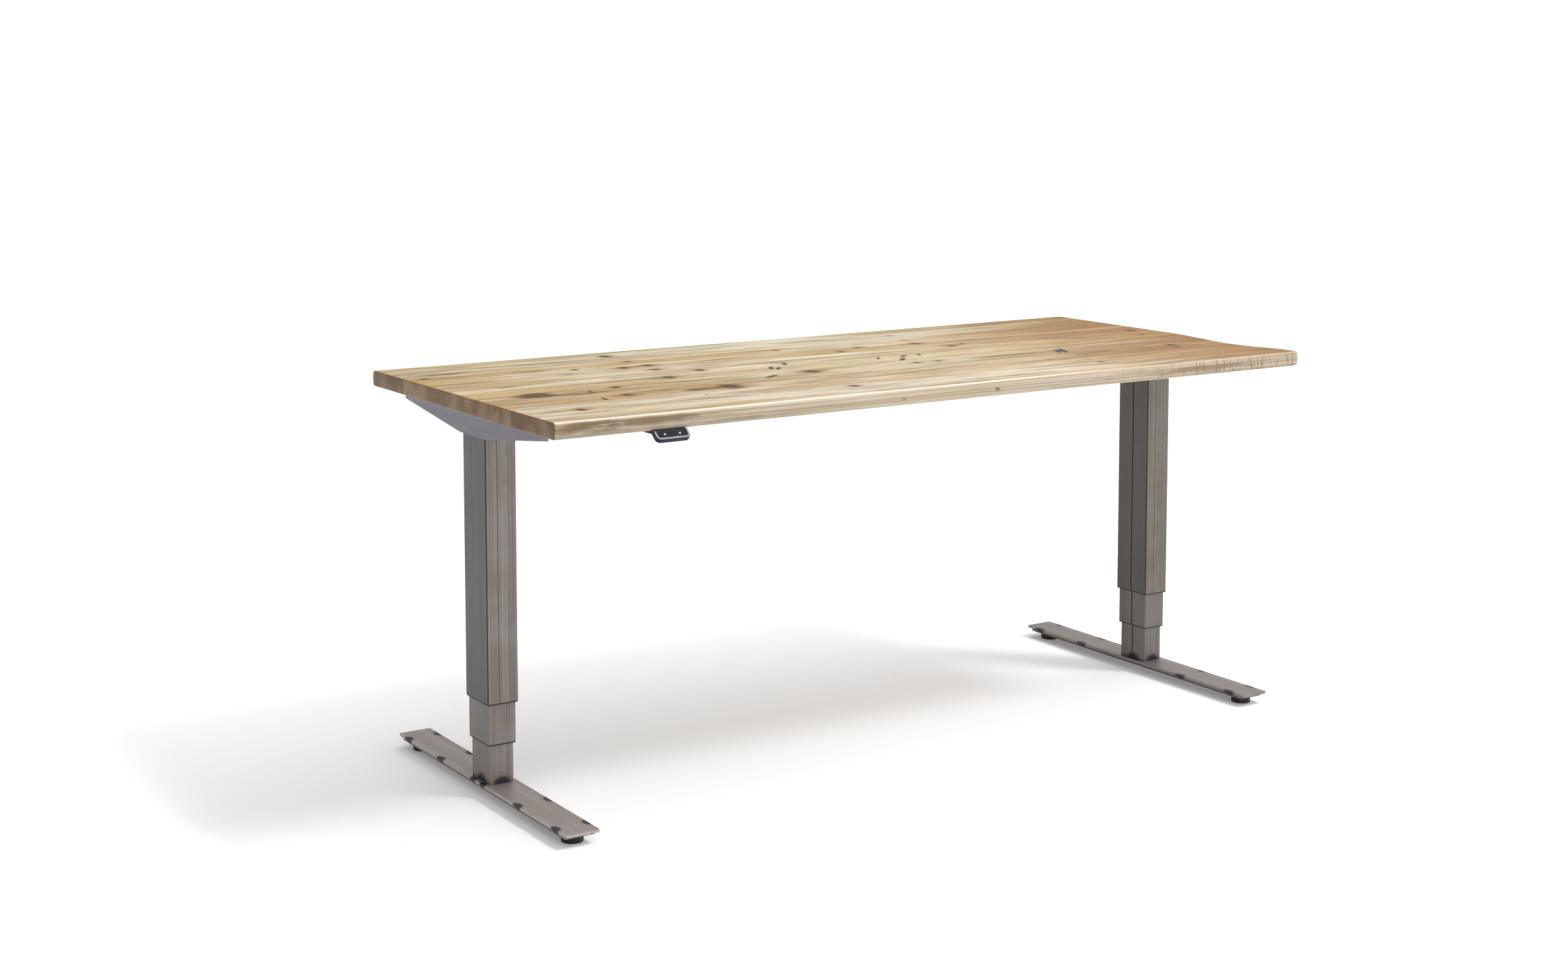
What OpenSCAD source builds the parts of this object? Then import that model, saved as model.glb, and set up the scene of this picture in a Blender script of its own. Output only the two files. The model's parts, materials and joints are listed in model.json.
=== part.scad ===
/* [Desktop] */
// Length of the desktop from end to end
desk_w = 1800; // [1400:20:2200]
// Depth of the desktop from front to back
desk_d = 800; // [700:10:1000]
// Thickness of the desktop's boards
desk_t = 32; // [24:1:40]
// Rounding along the desktop's front and back edges
edge_r = 9; // [2:0.5:11]
// Rounding round the desktop's two ends
end_r = 2.5; // [1:0.5:8]

/* [Boards, from the back] */
// Width of the first board, at the back; all seven are trimmed in proportion to fill the depth
plank_1_w = 155; // [60:1:200]
// Width of the second board
plank_2_w = 137; // [60:1:180]
// Width of the third board
plank_3_w = 102; // [60:1:140]
// Width of the fourth board
plank_4_w = 66; // [40:1:90]
// Width of the fifth board
plank_5_w = 85; // [50:1:110]
// Width of the sixth board
plank_6_w = 85; // [50:1:110]
// Width of the seventh board, at the front
plank_7_w = 170; // [60:1:220]

/* [Heights] */
// Height of the desktop's top face in the pose that is drawn
desk_h = 780; // [640:10:1280]
// Lowest height of the desktop's top face
low_h = 630; // [600:10:640]
// Highest height of the desktop's top face
high_h = 1280; // [1100:10:1280]

/* [Columns] */
// Distance from the desktop's end to the column's centre
leg_inset = 74; // [60:1:400]
// How far behind the desktop's centre line the columns stand
leg_y = 16; // [-20:1:40]
// Width of the outer tube, along the desk
outer_w = 64; // [60:1:80]
// Depth of the outer tube, front to back
outer_d = 98; // [90:1:120]
// Wall of all the column's tubes
tube_wall = 1.8; // [1.5:0.1:2.5]
// Play between two tubes on their narrow sides
glide_w = 1.7; // [1.2:0.1:2.4]
// Play between two tubes on their wide sides
glide_d = 2.7; // [1.2:0.1:3.5]
// Rounding of the tubes' outer corners
tube_r = 3; // [2.5:0.5:6]
// Width of the seam down each tube's inward face
seam_w = 3; // [1:0.5:6]
// Depth of that seam
seam_depth = 0.6; // [0.3:0.1:1]

/* [Glide collars] */
// Height of a collar in a tube's mouth
mouth_collar_h = 60; // [30:5:80]
// Height of a collar round a tube's top
top_collar_h = 30; // [20:5:30]
// Lip of a collar below the tube's mouth
collar_lip = 1.2; // [0.8:0.1:2]
// Running clearance between a collar and the tube that slides in it
running = 0.3; // [0.2:0.05:0.4]

/* [Feet] */
// Length of a foot plate, front to back
foot_len = 740; // [600:10:900]
// Width of a foot plate
foot_w = 68; // [64:1:90]
// Thickness of a foot plate
foot_t = 5; // [4:0.5:8]
// Corner rounding of a foot plate
foot_r = 3; // [2:1:16]
// Height of the channel welded under a foot plate
channel_h = 7; // [6:0.5:12]
// Sheet thickness of the channel
channel_wall = 2; // [1.5:0.5:2.5]
// How far the channel's open ends stand in from the plate's ends
channel_end_inset = 14; // [4:1:30]
// How far the channel stands in from the plate's long edges
channel_side_inset = 3; // [2:0.5:5]
// Diameter of a levelling pad
pad_d = 41; // [30:1:50]
// Height of a levelling pad
pad_h = 15; // [10:1:20]
// Distance from the column's centre to a levelling pad
pad_reach = 327; // [240:1:420]
// Diameter of a levelling stud
stud_d = 8; // [6:1:10]

/* [Top frame] */
// Sheet thickness of the side brackets
bracket_wall = 3; // [2:0.5:4]
// How much shorter a side bracket is than the desktop is deep
bracket_short = 180; // [130:10:300]
// Depth of a side bracket at the column
bracket_h = 52; // [50:1:70]
// Depth of a side bracket at its ends
bracket_end_h = 19; // [12:1:40]
// Length of the bracket's deep middle part
bracket_mid = 110; // [100:5:160]
// Width of a cross rail
rail_w = 40; // [25:1:60]
// Depth of a cross rail
rail_h = 25; // [15:1:35]
// Sheet thickness of the cross rails
rail_wall = 2; // [1.5:0.5:3]
// Distance from the columns' line to each cross rail
rail_offset = 110; // [90:5:160]

/* [Drive] */
// Diameter of the drive screw
drive_d = 14; // [12:1:16]
// Outer diameter of the hollow screw
hollow_d = 22; // [20:1:26]
// Bore of the hollow screw
hollow_bore = 15; // [14:0.5:18]
// Clearance round a turning shaft or screw
turning = 0.3; // [0.2:0.05:0.4]
// Height of the gear housing in the outer tube's top
housing_h = 42; // [40:1:50]
// Wall of the gear housing
housing_wall = 4; // [3:0.5:5]
// Pitch radius of the bevel wheel on the drive screw
wheel_r = 18; // [16:1:19]
// Teeth on the bevel wheel
wheel_teeth = 24; // [20:2:30]
// Diameter of the motor
motor_d = 36; // [30:1:38]
// Length of the motor
motor_len = 90; // [60:5:100]
// Diameter of the motor's shaft
shaft_d = 8; // [6:1:9]

/* [Handset] */
// Distance from the desktop's left end to the handset's centre
handset_from_end = 230; // [180:5:700]
// Width of the handset
handset_w = 70; // [60:1:100]
// Tilt of the handset's face below the level
handset_tilt = 40; // [30:1:45]
// Length of the tilted face
handset_face = 21; // [18:1:22]
// Thickness of the tilted panel
handset_t = 8; // [7:0.5:10]
// Thickness of the handset's flat base
handset_base_t = 5.5; // [4.5:0.5:6]
// Depth of the flat base under the desktop
handset_base = 55; // [40:1:80]
// Width of the bezel's strip
bezel_w = 4.5; // [3:0.5:6]
// How far the bezel stands proud of the panel
bezel_t = 1.2; // [0.6:0.1:1.5]
// How far a button can be pressed
button_travel = 1; // [0.6:0.1:1.2]

/* [Control box] */
// Length of the control box, along the desk
box_w = 250; // [180:5:400]
// Width of the control box, front to back
box_d = 70; // [60:1:120]
// Height of the control box
box_h = 35; // [30:1:45]

/* [Fasteners] */
// Diameter of the wood screws' shanks
screw_d = 5; // [4:0.5:6]
// Depth that the wood screws reach into the desktop
screw_bite = 16; // [10:1:20]
// Distances of the bracket screws from the column's centre: the nearer pair
near_screw = 180; // [160:5:220]
// Distance of a side bracket's outer screws from its ends
end_screw = 40; // [20:1:80]

/* [Hidden] */

left = -1;
right = 1;
front = -1;
back = 1;
round_fn = 48;
corner_fn = 32;
cut = 1;

// Heights of the feet, from the floor up
foot_bottom = pad_h + channel_h;
nut_floor = pad_h + channel_wall;
foot_nut_h = channel_h - channel_wall - 0.5;
foot_top = foot_bottom + foot_t;

// Heights of the top frame in the pose that is drawn
underside = desk_h - desk_t;
web_bottom = underside - bracket_wall;
leg_x = desk_w / 2 - leg_inset;

// The three tubes, each sized to run inside the one above
mid_w = outer_w - 2 * tube_wall - 2 * glide_w;
mid_d = outer_d - 2 * tube_wall - 2 * glide_d;
inner_w = mid_w - 2 * tube_wall - 2 * glide_w;
inner_d = mid_d - 2 * tube_wall - 2 * glide_d;

// Gaps left when the desk is right down
outer_floor_gap = 10;
mid_floor_gap = 5;
housing_gap = 16;
nut_gap = 10;
upper_nut_h = 30;
lower_nut_h = 20;

// Lengths of the tubes follow from the lowest height
low_web = low_h - desk_t - bracket_wall;
outer_len = low_web - foot_top - outer_floor_gap;
mid_low = foot_top + mid_floor_gap;
mid_len = low_web - housing_h - housing_gap - mid_low;
inner_len = mid_low + mid_len - upper_nut_h - nut_gap - foot_top;

// The middle tube rises half as far as the desktop
rise = desk_h - low_h;
travel = high_h - low_h;
outer_bottom = web_bottom - outer_len;
mid_bottom = mid_low + rise / 2;
mid_top = mid_bottom + mid_len;
inner_top = foot_top + inner_len;

// The upper nut hangs in the middle tube's top, and the hollow screw under its lip
nut_lip = 8;
nut_bottom = mid_top - upper_nut_h;
lip_bottom = mid_top - nut_lip;
flange_d = hollow_d + 8;
flange_h = 8;
screw_overrun = 5;

// The hollow screw still reaches through the lower nut when the desk is right up
hollow_top = lip_bottom - 1;
hollow_len = hollow_top + (high_h - desk_h) / 2 - (inner_top - lower_nut_h - screw_overrun);

// The drive screw still reaches through the upper nut when the desk is right up
drive_bottom = nut_bottom - screw_overrun - (high_h - desk_h) / 2;

// Gear housing and motor, with the motor's axis as the gears' common height
housing_bottom = web_bottom - housing_h;
motor_z = web_bottom - 1 - motor_d / 2;
gear_ratio = 2;
pinion_r = wheel_r / gear_ratio;
pinion_teeth = wheel_teeth / gear_ratio;
tooth_taper = 0.6;
tooth_rise = 1.1;
tooth_drop = 1.5;
wheel_back_z = motor_z - pinion_r;
hub_bottom = housing_bottom + housing_wall + 0.5;
journal_d = drive_d - 4;
journal_top = wheel_back_z - 0.5;
press = 0.05;
motor_flange_t = 4;
motor_flange_w = 50;
motor_flange_h = min(motor_d, 36) + 2;
shaft_in_motor = 30;

// Side brackets
bracket_len = desk_d - bracket_short;
far_screw = bracket_len / 2 - end_screw;
bracket_w = outer_w + 2 * bracket_wall;
rail_x = leg_x - bracket_w / 2;
screw_hole_d = screw_d + 0.6;
head_d = 2 * screw_d;
head_h = 3;

// Boards: the widths from the back, and each board's two edges
plank_w = [plank_1_w, plank_2_w, plank_3_w, plank_4_w, plank_5_w, plank_6_w, plank_7_w];
function sum_to(list, n) = n == 0 ? 0 : list[n - 1] + sum_to(list, n - 1);
function plank_back(i) = desk_d / 2 - sum_to(plank_w, i) * desk_d / sum_to(plank_w, len(plank_w));
function plank_front(i) = plank_back(i + 1);

// Handset, control box and their screws
handset_x = -desk_w / 2 + handset_from_end;
handset_y = -desk_d / 2;
handset_corner = 9;
button_gap = 0.5;
button_t = 3;
button_proud = 0.6;
face_top_inset = 1;
ear_len = 18;
ear_t = 3;
handset_screw_x = 22;
handset_screw_y = 32;

// Every wood screw: [x, y, thickness of what it holds]
bracket_screws = [
    for (side = [left, right], y = [-far_screw, -near_screw, near_screw, far_screw])
        [side * leg_x, leg_y + y, bracket_wall]
];
rail_screws = [
    for (x = [-rail_x / 2, 0, rail_x / 2], y = [-rail_offset, rail_offset])
        [x, leg_y + y, rail_wall]
];
box_screws = [for (side = [left, right]) [side * (box_w + ear_len) / 2, leg_y, ear_t]];
handset_screws = [
    for (side = [left, right])
        [handset_x + side * handset_screw_x, handset_y + handset_screw_y, handset_base_t]
];
screws = concat(bracket_screws, rail_screws, box_screws, handset_screws);

// A rectangle with true round corners
module rounded_rect(w, d, r) {
    square([w - 2 * r, d], center = true);
    square([w, d - 2 * r], center = true);
    for (x = [-1, 1], y = [-1, 1])
        translate([x * (w / 2 - r), y * (d / 2 - r)]) circle(r = r, $fn = corner_fn);
}

// An upright bar with round corners, standing at height z
module bar(w, d, r, z, h) {
    translate([0, 0, z]) linear_extrude(height = h) rounded_rect(w, d, r);
}

// An upright bar with a straight hole of another size through it
module ring_bar(w, d, r, hole_w, hole_d, hole_r, z, h) {
    difference() {
        bar(w, d, r, z, h);
        bar(hole_w, hole_d, hole_r, z - cut, h + 2 * cut);
    }
}

// An upright shaft or hole
module rod(d, z, h) {
    translate([0, 0, z]) cylinder(d = d, h = h, $fn = round_fn);
}

// A shaft or hole along the desk's depth, starting at y
module rod_y(d, y, len, z) {
    translate([0, y, z]) rotate([-90, 0, 0]) cylinder(d = d, h = len, $fn = round_fn);
}

module at_leg(side) {
    translate([side * leg_x, leg_y, 0]) children();
}

// A column tube, with the seam down the face that looks at the desk's middle
module column_tube(side, w, d, z, len) {
    inner_r = max(tube_r - tube_wall, 0.5);
    difference() {
        ring_bar(w, d, tube_r, w - 2 * tube_wall, d - 2 * tube_wall, inner_r, z, len);
        translate([-side * w / 2, 0, z + len / 2])
            cube([2 * seam_depth, seam_w, len + 2 * cut], center = true);
    }
}

// A collar that lines a tube's mouth and shows as a thin lip below it
module mouth_collar(tube_w, tube_d, z) {
    lining_w = tube_w - 2 * tube_wall;
    lining_d = tube_d - 2 * tube_wall;
    lining_r = max(tube_r - tube_wall, 0.5);
    slide_w = lining_w - 2 * glide_w + 2 * running;
    slide_d = lining_d - 2 * glide_d + 2 * running;
    difference() {
        union() {
            bar(lining_w, lining_d, lining_r, z, mouth_collar_h);
            bar(tube_w - 1, tube_d - 1, tube_r - 0.5, z - collar_lip, collar_lip);
        }
        bar(slide_w, slide_d, tube_r, z - 2 * cut - collar_lip, mouth_collar_h + 4 * cut + collar_lip);
    }
}

// A collar round a tube's top that runs in the tube outside it
module top_collar(tube_w, tube_d, z) {
    run_w = tube_w + 2 * glide_w - 2 * running;
    run_d = tube_d + 2 * glide_d - 2 * running;
    ring_bar(run_w, run_d, 1, tube_w, tube_d, tube_r, z - top_collar_h, top_collar_h);
}

module foot_plate(side) {
    color("#857c74") at_leg(side) bar(foot_w, foot_len, foot_r, foot_bottom, foot_t);
}

// End view of the foot's channel, open at the top, with its lower edges bent round
module channel_profile(w) {
    bend = channel_wall + 0.5;
    difference() {
        union() {
            translate([-w / 2, bend]) square([w, channel_h - bend]);
            translate([-w / 2 + bend, 0]) square([w - 2 * bend, channel_h]);
            for (x = [-1, 1])
                translate([x * (w / 2 - bend), bend]) circle(r = bend, $fn = corner_fn);
        }
        translate([-w / 2 + channel_wall, channel_wall]) square([w - 2 * channel_wall, channel_h]);
    }
}

// A shallow channel that the foot plate closes, open at both ends
module foot_channel(side) {
    len = foot_len - 2 * channel_end_inset;
    color("#7c746d") at_leg(side) difference() {
        translate([0, len / 2, pad_h]) rotate([90, 0, 0])
            linear_extrude(height = len) channel_profile(foot_w - 2 * channel_side_inset);
        for (end = [front, back])
            translate([0, end * pad_reach, 0]) rod(stud_d + 1, pad_h - cut, channel_wall + 2 * cut);
    }
}

// Hexagon nuts welded in the foot channels, on the levelling studs
module foot_nuts() {
    color("#8d8a86")
        for (side = [left, right], end = [front, back])
            at_leg(side) translate([0, end * pad_reach, 0]) difference() {
                translate([0, 0, nut_floor]) cylinder(d = 1.87 * stud_d, h = foot_nut_h, $fn = 6);
                rod(stud_d + 2 * press, nut_floor - cut, foot_nut_h + 2 * cut);
            }
}

module level_stud(side, end) {
    color("#9a9793") at_leg(side) translate([0, end * pad_reach, 0])
        rod(stud_d, 2, foot_bottom - 2.5);
}

// A black pad with a round shoulder, moulded round its stud
module level_pad(side, end) {
    shoulder = 3;
    pad_top = pad_h - 0.5;
    color("#141414") at_leg(side) translate([0, end * pad_reach, 0])
        difference() {
            rotate_extrude($fn = round_fn) {
                square([pad_d / 2 - 1, 1]);
                translate([0, 1]) square([pad_d / 2, pad_top - 1 - shoulder]);
                translate([0, pad_top - shoulder]) square([pad_d / 2 - shoulder, shoulder]);
                intersection() {
                    translate([pad_d / 2 - shoulder, pad_top - shoulder])
                        circle(r = shoulder, $fn = corner_fn);
                    translate([0, pad_top - shoulder]) square([pad_d / 2, shoulder]);
                }
            }
            rod(stud_d, 2, pad_h);
        }
}

module inner_tube(side) {
    color("#7d766f") at_leg(side) column_tube(side, inner_w, inner_d, foot_top, inner_len);
}

module inner_collar(side) {
    color("#1c1c1c") at_leg(side) top_collar(inner_w, inner_d, inner_top);
}

// The nut block in the inner tube's top, which the hollow screw runs through
module lower_nut(side) {
    color("#3c3c3c") at_leg(side) difference() {
        bar(inner_w - 2 * tube_wall, inner_d - 2 * tube_wall, max(tube_r - tube_wall, 0.5),
            inner_top - lower_nut_h, lower_nut_h);
        rod(hollow_d + 2 * turning, inner_top - lower_nut_h - cut, lower_nut_h + 2 * cut);
    }
}

module middle_tube(side) {
    color("#827a72") at_leg(side) column_tube(side, mid_w, mid_d, mid_bottom, mid_len);
}

module middle_lower_collar(side) {
    color("#1c1c1c") at_leg(side) mouth_collar(mid_w, mid_d, mid_bottom);
}

module middle_upper_collar(side) {
    color("#1c1c1c") at_leg(side) top_collar(mid_w, mid_d, mid_top);
}

// The nut block in the middle tube's top: the drive screw runs in its lip,
// and the hollow screw's neck turns in the wider bore below
module upper_nut(side) {
    color("#3c3c3c") at_leg(side) difference() {
        bar(mid_w - 2 * tube_wall, mid_d - 2 * tube_wall, max(tube_r - tube_wall, 0.5),
            nut_bottom, upper_nut_h);
        rod(drive_d + 2 * turning, nut_bottom - cut, upper_nut_h + 2 * cut);
        rod(hollow_d + 2 * turning, nut_bottom - cut, upper_nut_h - nut_lip + cut);
    }
}

module hollow_screw(side) {
    color("#a9a7a3") at_leg(side) difference() {
        union() {
            rod(hollow_d, hollow_top - hollow_len, hollow_len);
            rod(flange_d, nut_bottom - turning - flange_h, flange_h);
        }
        rod(hollow_bore, hollow_top - hollow_len - cut, hollow_len + 2 * cut);
    }
}

module outer_tube(side) {
    color("#8a8279") at_leg(side) difference() {
        column_tube(side, outer_w, outer_d, outer_bottom, outer_len);
        rod_y(shaft_d + 6, outer_d / 2 - 2 * tube_wall, 4 * tube_wall, motor_z);
    }
}

module outer_collar(side) {
    color("#1c1c1c") at_leg(side) mouth_collar(outer_w, outer_d, outer_bottom);
}

// The gear housing, open at the top where the bracket's web closes it
module gear_housing(side) {
    w = outer_w - 2 * tube_wall;
    d = outer_d - 2 * tube_wall;
    color("#5d6063") at_leg(side) difference() {
        bar(w, d, max(tube_r - tube_wall, 0.5), housing_bottom, housing_h);
        bar(w - 2 * housing_wall, d - 2 * housing_wall, 3, housing_bottom + housing_wall, housing_h);
        rod(drive_d + 2 * turning, housing_bottom - cut, housing_wall + 2 * cut);
        rod_y(shaft_d + 2 * turning, d / 2 - housing_wall - cut, housing_wall + 2 * cut, motor_z);
    }
}

module drive_screw(side) {
    color("#a9a7a3") at_leg(side) {
        rod(drive_d, drive_bottom, hub_bottom - drive_bottom);
        rod(journal_d, hub_bottom, journal_top - hub_bottom);
    }
}

// Outline of a bevel gear's large end: four points to each tooth
function tooth_points(teeth, root, tip, first) = [
    for (i = [0:teeth - 1], p = [[root, -0.29], [tip, -0.13], [tip, 0.13], [root, 0.29]])
        let (a = first + (i + p[1]) * 360 / teeth) [p[0] * cos(a), p[0] * sin(a)]
];

// Bevel teeth that point up at the cone's tip, which lies at the origin
module bevel_teeth(teeth, pitch_r, cone_h, first) {
    lean = cone_h / sqrt(cone_h * cone_h + pitch_r * pitch_r);
    root = pitch_r - tooth_drop / lean;
    tip = pitch_r + tooth_rise / lean;
    translate([0, 0, -cone_h])
        linear_extrude(height = cone_h * (1 - tooth_taper), scale = tooth_taper)
            polygon(tooth_points(teeth, root, tip, first));
}

module bevel_wheel(side) {
    color("#b08d3e") at_leg(side) difference() {
        union() {
            translate([0, 0, motor_z]) bevel_teeth(wheel_teeth, wheel_r, pinion_r, 0);
            rod(2 * wheel_r - 8, wheel_back_z - 2.5, 2.5);
            rod(drive_d + 6, hub_bottom, wheel_back_z - hub_bottom);
        }
        rod(journal_d + 2 * press, hub_bottom - cut, motor_z - hub_bottom);
    }
}

// The motor's shaft with the pinion on its end, turned to mesh with the wheel
module pinion_shaft(side) {
    shaft_end = outer_d / 2 + motor_flange_t + shaft_in_motor;
    color("#a9a7a3") at_leg(side) {
        translate([0, 0, motor_z]) rotate([90, 0, 0])
            bevel_teeth(pinion_teeth, pinion_r, wheel_r, 90 + 180 / pinion_teeth);
        rod_y(2 * pinion_r - 7, wheel_r, 6, motor_z);
        rod_y(shaft_d, wheel_r, shaft_end - wheel_r, motor_z);
    }
}

// The motor lies inside the bracket, flanged to the outer tube's back
module motor(side) {
    can_y = outer_d / 2 + motor_flange_t;
    color("#2b2c2e") at_leg(side) difference() {
        union() {
            translate([-motor_flange_w / 2, outer_d / 2, motor_z - motor_flange_h / 2])
                cube([motor_flange_w, motor_flange_t, motor_flange_h]);
            rod_y(motor_d, can_y, motor_len, motor_z);
        }
        rod_y(shaft_d + 2 * turning, outer_d / 2 - cut, motor_flange_t + shaft_in_motor + 2 * cut, motor_z);
    }
}

// Side view of a bracket's edge, deep at the column and shallow at the ends
module bracket_outline() {
    polygon([
        [-bracket_len / 2, 0], [-bracket_len / 2, -bracket_end_h], [-bracket_mid / 2, -bracket_h],
        [bracket_mid / 2, -bracket_h], [bracket_len / 2, -bracket_end_h], [bracket_len / 2, 0]
    ]);
}

// A folded sheet channel, open below, with its web under the desktop
module side_bracket(side) {
    color("#77777b") at_leg(side) difference() {
        translate([-bracket_w / 2, 0, underside])
            rotate([90, 0, 90]) linear_extrude(height = bracket_w) bracket_outline();
        translate([-outer_w / 2, -bracket_len, web_bottom - bracket_h])
            cube([outer_w, 2 * bracket_len, bracket_h]);
        for (s = bracket_screws)
            translate([0, s[1] - leg_y, 0]) rod(screw_hole_d, web_bottom - cut, bracket_wall + 2 * cut);
    }
}

// A channel that opens downward and runs from one bracket to the other
module rail(end) {
    translate([0, leg_y + end * rail_offset, 0]) difference() {
        translate([-rail_x, -rail_w / 2, underside - rail_h]) cube([2 * rail_x, rail_w, rail_h]);
        translate([-rail_x - cut, -rail_w / 2 + rail_wall, underside - rail_h - rail_wall])
            cube([2 * rail_x + 2 * cut, rail_w - 2 * rail_wall, rail_h]);
        for (s = rail_screws)
            translate([s[0], 0, 0]) rod(screw_hole_d, underside - rail_wall - cut, rail_wall + 2 * cut);
    }
}

module front_rail() {
    color("#77777b") rail(front);
}

module back_rail() {
    color("#77777b") rail(back);
}

// The control box, with its mains inlet and its sockets in the back face
module control_box() {
    inlet = [28, 12, 20];
    socket_d = 12;
    socket_pitch = 24;
    z = underside - box_h;
    color("#232426") translate([0, leg_y, 0]) difference() {
        union() {
            bar(box_w, box_d, 5, z, box_h);
            bar(box_w + 2 * ear_len, 24, 4, underside - ear_t, ear_t);
        }
        translate([box_w / 2 - 50, box_d / 2 - inlet[1], z + (box_h - inlet[2]) / 2])
            cube([inlet[0], inlet[1] + cut, inlet[2]]);
        for (i = [0:2])
            translate([-box_w / 2 + 30 + i * socket_pitch, 0, 0])
                rod_y(socket_d, box_d / 2 - 10, 10 + cut, z + box_h / 2);
        for (s = box_screws)
            translate([s[0], 0, 0]) rod(screw_hole_d, underside - ear_t - cut, ear_t + 2 * cut);
    }
}

// Places things on the handset's face: x along the desk, y up the face, z out of it
module on_face() {
    translate([handset_x, handset_y - face_top_inset, underside - 0.5])
        rotate([handset_tilt, 0, 0]) children();
}

// The face's outline: its two lower corners are round, and it can be drawn in by a margin
module face_outline(margin, up) {
    w = handset_w - 2 * margin;
    r = handset_corner - margin;
    low = -handset_face + margin;
    translate([-w / 2, low + r]) square([w, up - low - r]);
    translate([-w / 2 + r, low]) square([w - 2 * r, up - low]);
    for (x = [-1, 1])
        translate([x * (w / 2 - r), low + r]) circle(r = r, $fn = corner_fn);
}

// A flat base under the desktop, with a panel that slopes down past its front edge
module handset_body() {
    c = cos(handset_tilt);
    s = sin(handset_tilt);
    face_y = -face_top_inset - handset_face * c;
    face_z = -0.5 - handset_face * s;
    rim_y = face_y + handset_t * s;
    rim_z = face_z - handset_t * c;
    knee_y = rim_y + (-handset_base_t - rim_z) * c / s;
    profile = [
        [handset_base, 0], [handset_base, -handset_base_t], [knee_y, -handset_base_t],
        [rim_y, rim_z], [face_y, face_z], [-face_top_inset, -0.5], [-face_top_inset + 0.6, 0]
    ];
    pocket_t = button_t - button_proud + button_travel + 0.3;
    color("#1b1c1f") difference() {
        intersection() {
            translate([handset_x - handset_w / 2, handset_y, underside])
                rotate([90, 0, 90]) linear_extrude(height = handset_w) polygon(profile);
            on_face() translate([0, 0, -2 * handset_base])
                linear_extrude(height = 4 * handset_base) face_outline(0, 2 * handset_base);
        }
        on_face() translate([0, 0, -pocket_t])
            linear_extrude(height = pocket_t + cut) face_outline(bezel_w, -face_top_inset);
        for (h = handset_screws)
            translate([h[0], h[1], 0])
                rod(screw_hole_d, underside - handset_base_t - cut, handset_base_t + 2 * cut);
    }
}

// A grey strip round the buttons on three sides; the desktop's edge covers the fourth
module handset_bezel() {
    color("#8b8b97") on_face() linear_extrude(height = bezel_t) difference() {
        face_outline(0.8, -face_top_inset / 2);
        face_outline(bezel_w, 2 * cut);
    }
}

// One of the two buttons, which slide into the panel
module button(side) {
    gap = 0.3;
    color("#26262c") on_face() translate([0, 0, button_proud - button_t])
        linear_extrude(height = button_t) intersection() {
            face_outline(bezel_w + gap, -face_top_inset - gap);
            translate([side < 0 ? -handset_w : button_gap / 2, -2 * handset_face])
                square([handset_w - button_gap / 2, 4 * handset_face]);
        }
}

module up_button() {
    button(left);
}

module down_button() {
    button(right);
}

// The whole desktop's block, with round long edges and eased ends
module desktop_block() {
    intersection() {
        translate([-desk_w / 2, 0, underside + desk_t / 2])
            rotate([90, 0, 90]) linear_extrude(height = desk_w) rounded_rect(desk_d, desk_t, edge_r);
        translate([0, desk_d / 2, underside + desk_t / 2])
            rotate([90, 0, 0]) linear_extrude(height = desk_d) rounded_rect(desk_w, desk_t, end_r);
    }
}

// Board number i from the back, counted from 0, with pilot holes for its screws
module plank(i) {
    y0 = plank_front(i);
    y1 = plank_back(i);
    difference() {
        intersection() {
            desktop_block();
            translate([-desk_w, y0, underside - cut]) cube([2 * desk_w, y1 - y0, desk_t + 2 * cut]);
        }
        for (s = screws)
            if (s[1] > y0 - screw_d && s[1] < y1 + screw_d)
                translate([s[0], s[1], 0]) rod(screw_d, underside - cut, screw_bite + cut);
    }
}

module plank_1() {
    color("#ddcdb0") plank(0);
}

module plank_2() {
    color("#cdb48c") plank(1);
}

module plank_3() {
    color("#dcc5a4") plank(2);
}

module plank_4() {
    color("#cfa468") plank(3);
}

module plank_5() {
    color("#a98a68") plank(4);
}

module plank_6() {
    color("#c08f5c") plank(5);
}

module plank_7() {
    color("#dcc8b0") plank(6);
}

// One wood screw, driven up from below, with its head's underside at the held sheet
module wood_screw(s) {
    head_bottom = underside - s[2] - head_h;
    translate([s[0], s[1], 0]) difference() {
        union() {
            rod(head_d, head_bottom, head_h);
            rod(screw_d, head_bottom, head_h + s[2] + screw_bite);
        }
        translate([0, 0, head_bottom - cut]) cylinder(d = 0.7 * screw_d, h = 1.8 + cut, $fn = 6);
    }
}

module frame_screws() {
    color("#9c9a96") for (s = screws) wood_screw(s);
}

foot_plate(left);  // left_foot_plate
foot_plate(right);  // right_foot_plate
foot_channel(left);  // left_foot_channel
foot_channel(right);  // right_foot_channel
inner_tube(left);  // left_inner_tube
inner_tube(right);  // right_inner_tube
inner_collar(left);  // left_inner_collar
inner_collar(right);  // right_inner_collar
lower_nut(left);  // left_lower_nut
lower_nut(right);  // right_lower_nut
foot_nuts();
level_stud(left, front);  // left_front_stud
level_pad(left, front);  // left_front_pad
level_stud(left, back);  // left_back_stud
level_pad(left, back);  // left_back_pad
level_stud(right, front);  // right_front_stud
level_pad(right, front);  // right_front_pad
level_stud(right, back);  // right_back_stud
level_pad(right, back);  // right_back_pad
middle_tube(left);  // left_middle_tube
middle_lower_collar(left);  // left_middle_lower_collar
middle_upper_collar(left);  // left_middle_upper_collar
upper_nut(left);  // left_upper_nut
hollow_screw(left);  // left_hollow_screw
middle_tube(right);  // right_middle_tube
middle_lower_collar(right);  // right_middle_lower_collar
middle_upper_collar(right);  // right_middle_upper_collar
upper_nut(right);  // right_upper_nut
hollow_screw(right);  // right_hollow_screw
outer_tube(left);  // left_outer_tube
outer_collar(left);  // left_outer_collar
gear_housing(left);  // left_gear_housing
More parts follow.
